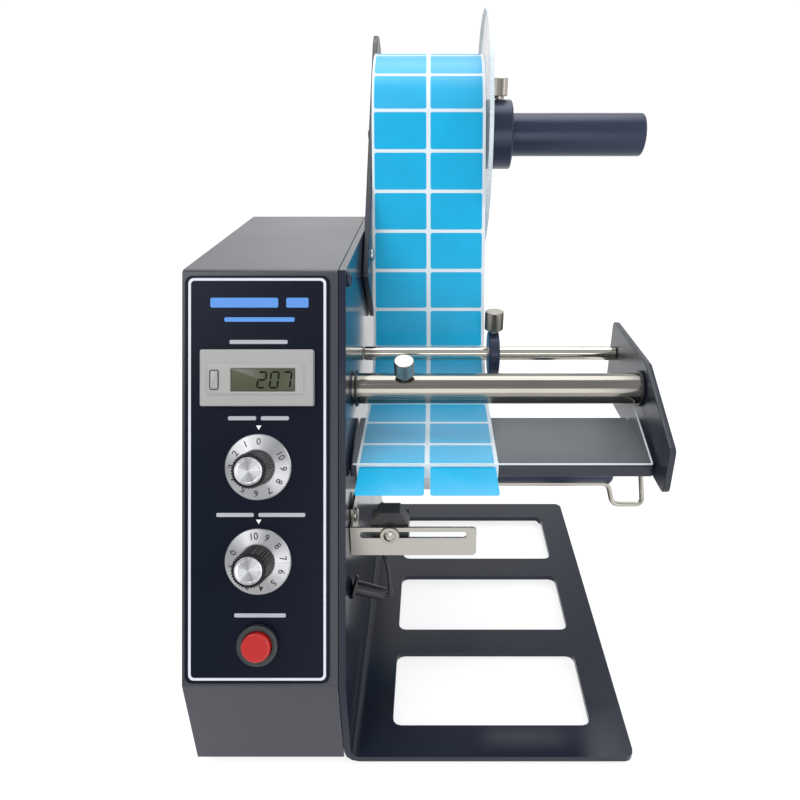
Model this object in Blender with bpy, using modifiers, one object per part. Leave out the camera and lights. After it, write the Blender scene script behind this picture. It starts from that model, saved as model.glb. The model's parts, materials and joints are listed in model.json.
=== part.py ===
"""Label dispenser machine for a desk.

A bent steel side frame carries a leaning control housing on its left, a roll of paired labels on a
tilted arm, and a narrow peeling platform under a clear press plate on its right. The liner turns back
under the platform to a motor driven take up shaft. Lengths are in metres.

Machine frame: X to the right from the outer face of the side plate, Y back from the front of the
housing, Z up from the table. One parent empty moves the whole machine so that the centre of its
footprint is the origin.
"""
import math

import bmesh
import bpy
from mathutils import Matrix, Vector

# Clearances and finish of the meshes
GAP = 0.0003
OVERRUN = 0.002
MERGE = 0.00001
SLIDE_GAP = 0.0004
FINE_SIDES = 36
ROUND_SIDES = 20
SMALL_SIDES = 12
ARC_STEPS = 3

# Side frame: one sheet, bent from side plate to base
FRAME_DEPTH = 0.201
PLATE_THICKNESS = 0.003
FRAME_HEIGHT = 0.212
BEND_RADIUS = 0.0065
BASE_RIGHT = 0.1295
BASE_CORNER = 0.004
BASE_LIFT = 0.003
OPENING_LEFT = 0.018
OPENING_LENGTH = 0.095
OPENING_WIDTH = 0.0449
OPENING_CORNER = 0.004
OPENING_FRONT = 0.0166
OPENING_PITCH = 0.0615
OPENING_COUNT = 3

# Housing cover
KICK_HEIGHT = 0.051
TOP_FRONT = 0.0765
HOUSING_WIDTH = 0.0672
COVER_SHEET = 0.0012
COVER_BOTTOM = 0.006
COVER_BEND = 0.0025
COVER_EDGE = 0.0006
REAR_SHEET = 0.0015
TRAY_SHEET = 0.0015

# Control panel, measured up the slope from its lower bend
COLUMN_INSET = 0.0331
OVERLAY_THICKNESS = 0.0004
OVERLAY_LEFT = 0.0015
OVERLAY_RIGHT = 0.0035
OVERLAY_LOW = 0.0015
OVERLAY_HIGH = 0.0025
OVERLAY_CORNER = 0.003
COUNTER_UP = 0.132
LENGTH_UP = 0.094
SPEED_UP = 0.0538
POWER_UP = 0.0185

# Counter
BEZEL_WIDTH = 0.048
BEZEL_HEIGHT = 0.024
BEZEL_DEPTH = 0.0037
BEZEL_EDGE = 0.0006
COUNTER_WIDTH = 0.0444
COUNTER_HEIGHT = 0.0216
COUNTER_DEPTH = 0.036
WINDOW_WIDTH = 0.0271
WINDOW_HEIGHT = 0.0097
WINDOW_SHIFT = 0.0028
WINDOW_DROP = 0.0009
WINDOW_DEPTH = 0.0016
WINDOW_RECESS = 0.0004
RESET_WIDTH = 0.0031
RESET_HEIGHT = 0.0076
RESET_SHIFT = 0.0176
RESET_PROUD = 0.0008
RESET_TRAVEL = 0.0008
RESET_DEPTH = 0.0014

# Knobs and their potentiometers
SKIRT_RADIUS = 0.01425
SKIRT_EDGE = 0.0009
SKIRT_HOLLOW = 0.009
SKIRT_LIFT = 0.0004
KNOB_BASE_RADIUS = 0.0076
KNOB_TOP_RADIUS = 0.0072
KNOB_HEIGHT = 0.0133
KNOB_FLUTES = 18
KNOB_FLUTE_DEPTH = 0.0005
CAP_RADIUS = 0.0058
CAP_THICKNESS = 0.0008
SPINDLE_RADIUS = 0.003
POT_RADIUS = 0.0085
POT_DEPTH = 0.011
BUSH_RADIUS = 0.0036
NUT_RADIUS = 0.0057
NUT_THICKNESS = 0.0015

# Lit power button
POWER_BEZEL_RADIUS = 0.0087
POWER_BEZEL_HEIGHT = 0.0028
BUTTON_RADIUS = 0.0063
BUTTON_PROUD = 0.0032
BUTTON_TRAVEL = 0.0025
BUTTON_CROWN = 0.0012
SWITCH_RADIUS = 0.0076
SWITCH_DEPTH = 0.024
SWITCH_POCKET = 0.008

# Take up shaft, driven through a gear pair
TAKE_UP_Y = 0.100
TAKE_UP_Z = 0.1007
TAKE_UP_RADIUS = 0.010
TAKE_UP_END = 0.1314
TAKE_UP_CHAMFER = 0.001
STUB_RADIUS = 0.005
BEARING_RADIUS = 0.009
BEARING_FLANGE_RADIUS = 0.0125
BEARING_FLANGE = 0.0015
GEAR_MODULE = 0.0008
WHEEL_TEETH = 36
PINION_TEETH = 18
GEAR_WIDTH = 0.006
TOOTH_PLAY = 0.00012
TOOTH_TIP = 0.9
TOOTH_ROOT = 1.15
TIP_SHARE = 0.5
ROOT_SHARE = 1.55
GEARBOX_RADIUS = 0.0185
GEARBOX_LENGTH = 0.021
MOTOR_RADIUS = 0.0155
MOTOR_LENGTH = 0.030
MOTOR_SHAFT_RADIUS = 0.003
STANDOFF_RADIUS = 0.003
STANDOFF_ANGLE = math.radians(60)

# Wire clip that holds the liner on the take up shaft
WIRE_RADIUS = 0.0013
CLIP_LEG_RADIUS = 0.0098
CLIP_START = 0.0045
CLIP_DROP_X = 0.1300
CLIP_END_X = 0.1475
CLIP_REACH = 0.0207
CLIP_BEND = 0.0035
CLIP_ANGLE = math.radians(237)

# Platform, end plate, press bar and guide rod
SPAN = 0.136
PLATFORM_TOP = 0.131
PLATFORM_THICKNESS = 0.006
PLATFORM_FRONT = 0.049
PLATFORM_BACK = 0.0965
PLATFORM_EDGE = 0.001
END_FRONT = 0.036
END_BACK = 0.143
END_BOTTOM = 0.1245
END_SHOULDER = 0.146
END_TOP = 0.1665
END_TOP_FRONT = 0.081
END_CORNER = 0.003
BAR_Y = 0.0835
BAR_Z = 0.153
BAR_RADIUS = 0.0073
JOURNAL_RADIUS = 0.004
BAR_RING_RADIUS = 0.0086
BAR_RING_WIDTH = 0.0012
ROD_Y = 0.131
ROD_Z = 0.152
ROD_RADIUS = 0.0038
PRESS_THICKNESS = 0.002
PRESS_FRONT = 0.0356
PRESS_BACK = 0.0055
PRESS_CORNER = 0.0009
PRESS_LIFT = 0.0003

# Thumb screws
PRESS_SCREW_X = 0.024
THUMB_RADIUS = 0.0046
THUMB_HEIGHT = 0.008
THUMB_NECK_RADIUS = 0.003
THUMB_NECK = 0.0015
THUMB_SHANK_RADIUS = 0.0015
TALL_THUMB_RADIUS = 0.0049
TALL_THUMB_HEIGHT = 0.010
THUMB_FLUTES = 14
THUMB_FLUTE_DEPTH = 0.0003
SHANK_PAST = 0.001

# Guide ring on the rod
RING_RADIUS = 0.012
RING_WIDTH = 0.0056

# Label material: liner, roll and the pair being peeled
WEB_LEFT = 0.0035
WEB_WIDTH = 0.0629
WEB_THICKNESS = 0.0003
LABEL_WIDTH = 0.0288
LABEL_GAP = 0.0026
LABEL_TIP = 0.0260
LABEL_STAND_OFF = 0.0014
LABEL_CORNER = 0.0012
ROLL_RADIUS = 0.0445
CORE_WALL = 0.002
WOUND_INNER = 0.0115
WOUND_OUTER = 0.013
WEB_BEND_Y = 0.1545
WEB_BEND_Z = 0.157
WEB_LAND_Y = 0.110
WEB_BEND_PULL = 0.014
WEB_LAND_PULL = 0.022
WEB_BEND_STEPS = 10
WEB_SIDE_STEPS = 2

# Spool
SPOOL_Y = 0.2352
SPOOL_Z = 0.2552
SPOOL_RADIUS = 0.0125
SPOOL_END = 0.1656
SPOOL_CHAMFER = 0.0008
SPOOL_PLAY = 0.0005
ARM_TILT = math.radians(43.7)
ARM_WIDTH = 0.0458
ARM_BELOW = 0.1145
ARM_ABOVE = 0.069
ARM_THICKNESS = 0.003
ARM_FOOT_CORNER = 0.003
ARM_HEAD_CORNER = 0.020
ARM_SCREW_DOWN = 0.093
ARM_SCREW_SIDE = 0.0103
DISC_RADIUS = 0.068
DISC_THICKNESS = 0.0023
COLLAR_RADIUS = 0.020
COLLAR_WIDTH = 0.0155
COLLAR_EDGE = 0.0008

# Label sensor and its bracket
BRACKET_FRONT = 0.038
BRACKET_LENGTH = 0.0565
BRACKET_LOW = 0.0905
BRACKET_HEIGHT = 0.0151
BRACKET_SHEET = 0.0012
BRACKET_CORNER = 0.0018
BRACKET_BACK = 0.058
BRACKET_TAB_TOP = 0.1115
SLOT_LEFT = 0.0047
SLOT_LENGTH = 0.0477
SLOT_WIDTH = 0.0034
SLOT_Z = 0.1017
SENSOR_X = 0.018
SENSOR_WIDTH = 0.0168
SENSOR_DEPTH = 0.012
SENSOR_TOP_WIDTH = 0.009
SENSOR_TOP_DEPTH = 0.008
SENSOR_LOW = 0.0925
SENSOR_SHOULDER = 0.106
SENSOR_TOP = 0.1125
SENSOR_WASHER_RADIUS = 0.0043
SENSOR_WASHER = 0.0006
SENSOR_SCREW_RADIUS = 0.0027
SENSOR_SCREW_HEAD = 0.0016
SENSOR_SHANK_RADIUS = 0.0013
BRACKET_SCREW_Y = 0.049
BRACKET_SCREW_Z = 0.105
GLAND_Y = 0.034
GLAND_Z = 0.076
GLAND_LENGTH = 0.0155
GLAND_RADIUS = 0.0034
GLAND_END_RADIUS = 0.0030
GLAND_FLANGE_RADIUS = 0.0055
GLAND_FLANGE = 0.0018
GLAND_BORE = 0.0016
GLAND_BORE_DEPTH = 0.005
GLAND_DROOP = math.radians(17)
CABLE_RADIUS = 0.001
CABLE_SIDES_RESOLUTION = 2
CABLE_BELLY_X = 0.0165
CABLE_LOOP = 0.003
CABLE_STEPS = 4
BOARD_CAPACITORS = 3

# Small round headed screws
SCREW_RADIUS = 0.0034
SCREW_HEAD = 0.0018
PLATE_SCREW_INSET = 0.0055
BIG_SCREW_RADIUS = 0.0050
BIG_SCREW_HEAD = 0.0030

# Inside the housing
BOARD_FRONT = 0.018
BOARD_LENGTH = 0.095
BOARD_WIDTH = 0.050
BOARD_THICKNESS = 0.0016
BOARD_LIFT = 0.006
CHIP_HEIGHT = 0.004
CAPACITOR_RADIUS = 0.005
CAPACITOR_HEIGHT = 0.016
RELAY_SIZE = 0.014
TRANSFORMER_FRONT = 0.128
TRANSFORMER_LENGTH = 0.044
TRANSFORMER_WIDTH = 0.042
TRANSFORMER_HEIGHT = 0.036
TRANSFORMER_COIL_OUT = 0.006
TRANSFORMER_COIL_SINK = 0.010

# Mains inlet and fuse in the rear panel
INLET_WIDTH = 0.0272
INLET_HEIGHT = 0.0198
INLET_FLANGE_WIDTH = 0.034
INLET_FLANGE_HEIGHT = 0.026
INLET_FLANGE = 0.002
INLET_DEPTH = 0.018
INLET_SOCKET_WIDTH = 0.0235
INLET_SOCKET_HEIGHT = 0.0165
INLET_SOCKET_DEPTH = 0.016
INLET_Z = 0.040
PIN_WIDTH = 0.002
PIN_HEIGHT = 0.004
PIN_LENGTH = 0.011
PIN_PITCH = 0.007
PIN_RISE = 0.0025

# Feet
FOOT_RADIUS = 0.0065
FOOT_INSET = 0.012

# Worked out places
PLATE_LEFT = -PLATE_THICKNESS
COVER_RIGHT = PLATE_LEFT - GAP
COVER_LEFT = PLATE_LEFT - HOUSING_WIDTH
COLUMN_X = COVER_LEFT + COLUMN_INSET
PANEL_RUN = FRAME_HEIGHT - KICK_HEIGHT
PANEL_LEAN = math.atan2(TOP_FRONT, PANEL_RUN)
PANEL_LENGTH = math.hypot(TOP_FRONT, PANEL_RUN)
OVERLAY_TOP = GAP + OVERLAY_THICKNESS
BASE_TOP = BASE_LIFT + PLATE_THICKNESS
TRAY_BOTTOM = COVER_BOTTOM + GAP
TRAY_TOP = TRAY_BOTTOM + TRAY_SHEET
END_LEFT = SPAN
END_RIGHT = SPAN + PLATE_THICKNESS
WEB_RIGHT = WEB_LEFT + WEB_WIDTH
WEB_LOW = PLATFORM_TOP + GAP
WEB_MIDDLE = WEB_LOW + WEB_THICKNESS / 2
ARM_RIGHT = GAP + ARM_THICKNESS
DISC_LEFT = WEB_RIGHT + GAP
COLLAR_LEFT = DISC_LEFT + DISC_THICKNESS + GAP
RING_LEFT = WEB_RIGHT + SLIDE_GAP
PLATE_SCREW = (TOP_FRONT + PLATE_SCREW_INSET, FRAME_HEIGHT - PLATE_SCREW_INSET)
MACHINE_LEFT = COVER_LEFT
MACHINE_RIGHT = SPOOL_END
MACHINE_BACK = SPOOL_Y + DISC_RADIUS
WHEEL_PITCH = GEAR_MODULE * WHEEL_TEETH / 2
PINION_PITCH = GEAR_MODULE * PINION_TEETH / 2
PINION_Y = TAKE_UP_Y + WHEEL_PITCH + PINION_PITCH
GEAR_RIGHT = PLATE_LEFT - BEARING_FLANGE - 2 * GAP
GEAR_LEFT = GEAR_RIGHT - GEAR_WIDTH

ALONG_X = (0, math.pi / 2, 0)
AGAINST_X = (0, -math.pi / 2, 0)
FACING_X = (math.pi / 2, 0, math.pi / 2)
FACING_BACK = (math.pi / 2, 0, 0)


def clear_scene():
    for item in list(bpy.data.objects):
        bpy.data.objects.remove(item, do_unlink=True)


clear_scene()
PARTS = bpy.data.collections.new("label_dispenser_machine")
CUTTERS = bpy.data.collections.new("cutters")
bpy.context.scene.collection.children.link(PARTS)
bpy.context.scene.collection.children.link(CUTTERS)


def finish(name, colour, roughness, metallic, alpha=1.0):
    """One Principled finish."""
    look = bpy.data.materials.new(name)
    look.use_nodes = True
    shader = look.node_tree.nodes["Principled BSDF"]
    shader.inputs["Base Color"].default_value = (*colour, 1.0)
    shader.inputs["Roughness"].default_value = roughness
    shader.inputs["Metallic"].default_value = metallic
    shader.inputs["Alpha"].default_value = alpha
    look.diffuse_color = (*colour, alpha)
    return look


COVER_GREY = (0.055, 0.057, 0.065)
PANEL_BLACK = (0.010, 0.012, 0.020)
PLATE_BLACK = (0.018, 0.020, 0.028)
CHROME = (0.72, 0.72, 0.70)
NICKEL = (0.62, 0.60, 0.55)
LABEL_BLUE = (0.02, 0.40, 0.68)
LINER_WHITE = (0.86, 0.87, 0.88)


def place(item, parent=None, at=(0, 0, 0), turn=(0, 0, 0)):
    item.parent = parent or MACHINE
    item.location = at
    item.rotation_euler = turn
    return item


def empty(name, parent=None, at=(0, 0, 0), turn=(0, 0, 0)):
    item = bpy.data.objects.new(name, None)
    PARTS.objects.link(item)
    return place(item, parent, at, turn)


MACHINE = bpy.data.objects.new("machine", None)
PARTS.objects.link(MACHINE)
MACHINE.location = (-(MACHINE_LEFT + MACHINE_RIGHT) / 2, -MACHINE_BACK / 2, 0)


def add(name, mesh, look=None):
    """Link a mesh as a part with its finish, or as a cutter when it has none."""
    item = bpy.data.objects.new(name, mesh)
    if look is None:
        CUTTERS.objects.link(item)
        item.hide_render = True
        item.display_type = "WIRE"
    else:
        PARTS.objects.link(item)
        mesh.materials.append(finish(name, *look))
    return item


def smooth(mesh, angle=math.radians(35)):
    mesh.shade_smooth()
    mesh.set_sharp_from_angle(angle=angle)


def mesh_of(name, shape):
    """A mesh data block from a bmesh, which is freed."""
    mesh = bpy.data.meshes.new(name)
    shape.to_mesh(mesh)
    shape.free()
    return mesh


def block(name, low, high, look=None, parent=None, edge=0, steps=1, at=(0, 0, 0), turn=(0, 0, 0)):
    """A box between two corners, with rounded edges where edge is given."""
    shape = bmesh.new()
    bmesh.ops.create_cube(shape, size=1)
    for vertex in shape.verts:
        share = vertex.co + Vector((0.5, 0.5, 0.5))
        vertex.co = [a + (b - a) * s for a, b, s in zip(low, high, share)]
    item = place(add(name, mesh_of(name, shape), look), parent, at, turn)
    if edge:
        bevel = item.modifiers.new("Edges", "BEVEL")
        bevel.width = edge
        bevel.segments = steps
        bevel.limit_method = "ANGLE"
    return item


def turned(name, profile, look=None, parent=None, at=(0, 0, 0), turn=(0, 0, 0), sides=ROUND_SIDES,
           ring=False):
    """A profile of (radius, height) pairs, outer side downwards, swept round its own Z axis."""
    mesh = bpy.data.meshes.new(name)
    points = [(radius, 0, height) for radius, height in profile]
    edges = [(i, i + 1) for i in range(len(points) - 1)]
    if ring:
        edges.append((len(points) - 1, 0))
    mesh.from_pydata(points, edges, [])
    item = place(add(name, mesh, look), parent, at, turn)
    screw = item.modifiers.new("Turn", "SCREW")
    screw.axis = "Z"
    screw.steps = screw.render_steps = sides
    screw.use_merge_vertices = True
    screw.merge_threshold = MERGE
    screw.use_smooth_shade = True
    return item


def rod(name, radius, low, high, look=None, parent=None, at=(0, 0, 0), turn=(0, 0, 0), sides=ROUND_SIDES):
    """A plain cylinder along its own Z axis."""
    return turned(name, [(0, high), (radius, high), (radius, low), (0, low)], look, parent, at, turn, sides)


def tube(name, outer, inner, low, high, look=None, parent=None, at=(0, 0, 0), turn=(0, 0, 0),
         sides=ROUND_SIDES, edge=0):
    """A ring or sleeve along its own Z axis, with its outer corners cut by edge."""
    profile = [(inner, high), (outer - edge, high), (outer, high - edge)]
    profile += [(outer, low + edge), (outer - edge, low), (inner, low)]
    if not edge:
        profile = [(inner, high), (outer, high), (outer, low), (inner, low)]
    return turned(name, profile, look, parent, at, turn, sides, ring=True)


def corner(before, here, after, radius, steps=ARC_STEPS):
    """Points of an arc that rounds one corner of an outline."""
    here = Vector(here)
    one = (Vector(before) - here).normalized()
    two = (Vector(after) - here).normalized()
    half = one.angle(two) / 2
    reach = radius / math.tan(half)
    centre = here + (one + two).normalized() * (radius / math.sin(half))
    start = here + one * reach - centre
    finish_at = here + two * reach - centre
    sweep = start.angle(finish_at)
    points = []
    for step in range(steps + 1):
        share = step / steps
        blend = start * math.sin((1 - share) * sweep) + finish_at * math.sin(share * sweep)
        points.append(centre + blend / math.sin(sweep))
    return points


def outline(points, radii, steps=ARC_STEPS):
    """A closed outline with each corner rounded by its radius, or left sharp at zero."""
    result = []
    for i, point in enumerate(points):
        radius = radii[i] if isinstance(radii, (list, tuple)) else radii
        if radius:
            result += corner(points[i - 1], point, points[(i + 1) % len(points)], radius, steps)
        else:
            result.append(Vector(point))
    return result


def rectangle(left, low, width, height, radius=0, steps=ARC_STEPS):
    right, top = left + width, low + height
    return outline([(left, low), (right, low), (right, top), (left, top)], radius, steps)


def circle(centre, radius, sides=SMALL_SIDES):
    turns = [math.tau * i / sides for i in range(sides)]
    return [Vector((centre[0] + radius * math.cos(t), centre[1] + radius * math.sin(t))) for t in turns]


def flat(name, splines, low, high, look=None, parent=None, at=(0, 0, 0), turn=(0, 0, 0), edge=0):
    """A filled 2D curve, holes included, given thickness from low to high along its own Z axis."""
    curve = bpy.data.curves.new(name + "_outline", "CURVE")
    curve.dimensions = "2D"
    curve.fill_mode = "BOTH"
    curve.extrude = (high - low) / 2
    for points in splines:
        spline = curve.splines.new("POLY")
        spline.points.add(len(points) - 1)
        for target, point in zip(spline.points, points):
            target.co = (point[0], point[1], 0, 1)
        spline.use_cyclic_u = True
    mesh = mesh_from_curve(name, curve)
    mesh.transform(Matrix.Translation((0, 0, (high + low) / 2)))
    item = place(add(name, mesh, look), parent, at, turn)
    if edge:
        bevel = item.modifiers.new("Edges", "BEVEL")
        bevel.width = edge
        bevel.segments = 1
        bevel.limit_method = "ANGLE"
        bevel.angle_limit = math.radians(60)
    return item


def mesh_from_curve(name, curve):
    """The welded mesh of a curve, which is then removed."""
    holder = bpy.data.objects.new(name + "_curve", curve)
    CUTTERS.objects.link(holder)
    bpy.context.view_layer.update()
    ready = holder.evaluated_get(bpy.context.evaluated_depsgraph_get())
    mesh = bpy.data.meshes.new_from_object(ready)
    shape = bmesh.new()
    shape.from_mesh(mesh)
    bmesh.ops.remove_doubles(shape, verts=shape.verts, dist=MERGE)
    bmesh.ops.recalc_face_normals(shape, faces=shape.faces)
    shape.to_mesh(mesh)
    shape.free()
    bpy.data.objects.remove(holder, do_unlink=True)
    bpy.data.curves.remove(curve)
    mesh.materials.clear()
    return mesh


def wire(name, points, radius, look, parent=None, resolution=CABLE_SIDES_RESOLUTION):
    """A round wire through the given points."""
    curve = bpy.data.curves.new(name + "_path", "CURVE")
    curve.dimensions = "3D"
    curve.bevel_depth = radius
    curve.bevel_resolution = resolution
    curve.use_fill_caps = True
    spline = curve.splines.new("POLY")
    spline.points.add(len(points) - 1)
    for target, point in zip(spline.points, points):
        target.co = (*point, 1)
    mesh = mesh_from_curve(name, curve)
    smooth(mesh, math.radians(60))
    return place(add(name, mesh, look), parent)


def cut(item, cutter, operation="DIFFERENCE"):
    change = item.modifiers.new("Cut " + cutter.name, "BOOLEAN")
    change.operation = operation
    change.solver = "EXACT"
    change.object = cutter
    return item


def dome_screw(name, radius, head, look, at, turn, parent=None):
    """The head of a round headed screw, standing on its own XY plane."""
    profile = [(0, head), (radius / 2, head - head / 8), (radius - head / 3, head / 2), (radius, head / 8),
               (radius, 0), (0, 0)]
    return turned(name, [(r, h + GAP) for r, h in profile], look, parent, at, turn, SMALL_SIDES)


def fluted(name, base, top, low, high, flutes, depth, look, parent=None, at=(0, 0, 0), turn=(0, 0, 0)):
    """A tapered grip whose side runs in and out between flutes."""
    shape = bmesh.new()
    bmesh.ops.create_cone(shape, cap_ends=True, segments=flutes * 2, radius1=base, radius2=top,
                          depth=high - low)
    for vertex in shape.verts:
        angle = math.atan2(vertex.co.y, vertex.co.x)
        if round(angle / (math.pi / flutes)) % 2:
            radius = math.hypot(vertex.co.x, vertex.co.y)
            vertex.co.x *= (radius - depth) / radius
            vertex.co.y *= (radius - depth) / radius
        vertex.co.z += (high + low) / 2
    return place(add(name, mesh_of(name, shape), look), parent, at, turn)


BLACK_METAL = (PLATE_BLACK, 0.35, 0.6)
BLACK_PLASTIC = ((0.012, 0.012, 0.015), 0.4, 0.0)
CHROMED = (CHROME, 0.12, 1.0)
NICKELLED = (NICKEL, 0.3, 1.0)
STEEL = ((0.55, 0.54, 0.50), 0.35, 1.0)


def inset_corner(point, first, second, distance):
    """A corner moved inwards from two walls with the given outward normals."""
    first, second = Vector(first), Vector(second)
    return Vector(point) - (first + second) * distance / (1 + first.dot(second))


def side_frame():
    """The bent sheet that is both the side plate and the base, with three windows in the base."""
    inner = BEND_RADIUS - PLATE_THICKNESS
    middle = (inner, BASE_LIFT + BEND_RADIUS)
    turns = [math.pi + math.pi / 2 * i / ARC_STEPS for i in range(ARC_STEPS + 1)]
    outer_arc = [(middle[0] + BEND_RADIUS * math.cos(t), middle[1] + BEND_RADIUS * math.sin(t))
                 for t in turns]
    inner_arc = [(middle[0] + inner * math.cos(t), middle[1] + inner * math.sin(t)) for t in reversed(turns)]
    section = [(0, FRAME_HEIGHT), (PLATE_LEFT, FRAME_HEIGHT), *outer_arc, (BASE_RIGHT, BASE_LIFT),
               (BASE_RIGHT, BASE_TOP), *inner_arc]
    frame = flat("side_frame", [section], -FRAME_DEPTH, 0, BLACK_METAL, turn=FACING_BACK)

    front = flat("slope_cut", [[(-FRAME_DEPTH, KICK_HEIGHT), (0, KICK_HEIGHT), (TOP_FRONT, FRAME_HEIGHT),
                                (TOP_FRONT, FRAME_HEIGHT * 2), (-FRAME_DEPTH, FRAME_HEIGHT * 2)]],
                 PLATE_LEFT - OVERRUN, OVERRUN, turn=FACING_X)
    cut(frame, front)
    far_left = PLATE_LEFT - BASE_CORNER
    plan = outline([(far_left, 0), (BASE_RIGHT, 0), (BASE_RIGHT, FRAME_DEPTH), (far_left, FRAME_DEPTH)],
                   [0, BASE_CORNER, BASE_CORNER, 0])
    cut(frame, flat("base_plan", [plan], -OVERRUN, FRAME_HEIGHT + OVERRUN), "INTERSECT")
    for number in range(OPENING_COUNT):
        window = rectangle(OPENING_LEFT, OPENING_FRONT + number * OPENING_PITCH, OPENING_LENGTH,
                           OPENING_WIDTH, OPENING_CORNER)
        cut(frame, flat("base_window_cut_%d" % (number + 1), [window], -OVERRUN, BASE_TOP + OVERRUN))
    holes = [("bar_hole", BAR_Y, BAR_Z, JOURNAL_RADIUS + GAP), ("gland_hole", GLAND_Y, GLAND_Z, GLAND_RADIUS),
             ("bearing_hole", TAKE_UP_Y, TAKE_UP_Z, BEARING_RADIUS + GAP)]
    for name, y, z, radius in holes:
        cut(frame, rod(name + "_cut", radius, PLATE_LEFT - OVERRUN, OVERRUN, at=(0, y, z), turn=ALONG_X,
                       sides=SMALL_SIDES * 2))
    return frame


def housing():
    """The folded cover of the control box, its rear panel and its floor."""
    front_normal = (-1, 0)
    slope_normal = (-math.cos(PANEL_LEAN), math.sin(PANEL_LEAN))
    top_normal = (0, 1)
    kick, brow = (0, KICK_HEIGHT), (TOP_FRONT, FRAME_HEIGHT)
    outer = outline([(0, COVER_BOTTOM), kick, brow, (FRAME_DEPTH, FRAME_HEIGHT), (FRAME_DEPTH, COVER_BOTTOM)],
                    [0, COVER_BEND, COVER_BEND, 0, 0])
    cover = flat("housing_cover", [outer], COVER_LEFT, COVER_RIGHT, (COVER_GREY, 0.45, 0.3), turn=FACING_X,
                 edge=COVER_EDGE)
    low, back = COVER_BOTTOM - OVERRUN, FRAME_DEPTH + OVERRUN
    inner = [(COVER_SHEET, low), inset_corner(kick, front_normal, slope_normal, COVER_SHEET),
             inset_corner(brow, slope_normal, top_normal, COVER_SHEET), (back, FRAME_HEIGHT - COVER_SHEET),
             (back, low)]
    cut(cover, flat("cover_hollow", [inner], COVER_LEFT + COVER_SHEET, COVER_RIGHT + OVERRUN, turn=FACING_X))

    deep = -COVER_SHEET - OVERRUN
    half_width, half_height = COUNTER_WIDTH / 2 + GAP, COUNTER_HEIGHT / 2 + GAP
    cut(cover, block("counter_cut", (-half_width, COUNTER_UP - half_height, deep),
                     (half_width, COUNTER_UP + half_height, OVERRUN), parent=PANEL))
    for name, up, radius in (("length_cut", LENGTH_UP, BUSH_RADIUS), ("speed_cut", SPEED_UP, BUSH_RADIUS),
                             ("power_cut", POWER_UP, SWITCH_RADIUS)):
        cut(cover, rod(name, radius + GAP, deep, OVERRUN, parent=PANEL, at=(0, up, 0), sides=SMALL_SIDES * 2))

    left, right = COVER_LEFT + COVER_SHEET + GAP, COVER_RIGHT - GAP
    middle = (left + right) / 2
    rear_top = FRAME_HEIGHT - COVER_SHEET - GAP
    rear_low = TRAY_TOP + GAP
    socket = rectangle(middle - INLET_WIDTH / 2 - GAP, INLET_Z - INLET_HEIGHT / 2 - GAP,
                       INLET_WIDTH + 2 * GAP, INLET_HEIGHT + 2 * GAP)
    flat("rear_panel", [rectangle(left, rear_low, right - left, rear_top - rear_low), socket],
         0, REAR_SHEET, (COVER_GREY, 0.45, 0.3), at=(0, FRAME_DEPTH, 0), turn=FACING_BACK)
    block("floor_tray", (left, COVER_SHEET + GAP, TRAY_BOTTOM), (right, FRAME_DEPTH, TRAY_TOP),
          (COVER_GREY, 0.45, 0.3))
    return middle


def overlay():
    """The printed film on the panel, with holes for what comes through."""
    left = COVER_LEFT - COLUMN_X + OVERLAY_LEFT
    width = COVER_RIGHT - COVER_LEFT - OVERLAY_LEFT - OVERLAY_RIGHT
    film = rectangle(left, OVERLAY_LOW, width, PANEL_LENGTH - OVERLAY_LOW - OVERLAY_HIGH, OVERLAY_CORNER)
    counter = rectangle(-COUNTER_WIDTH / 2 - GAP, COUNTER_UP - COUNTER_HEIGHT / 2 - GAP,
                        COUNTER_WIDTH + 2 * GAP, COUNTER_HEIGHT + 2 * GAP)
    holes = [circle((0, up), radius + GAP) for up, radius in
             ((LENGTH_UP, BUSH_RADIUS), (SPEED_UP, BUSH_RADIUS), (POWER_UP, SWITCH_RADIUS))]
    flat("panel_overlay", [film, counter, *holes], GAP, OVERLAY_TOP, (PANEL_BLACK, 0.4, 0.0), PANEL)


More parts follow.
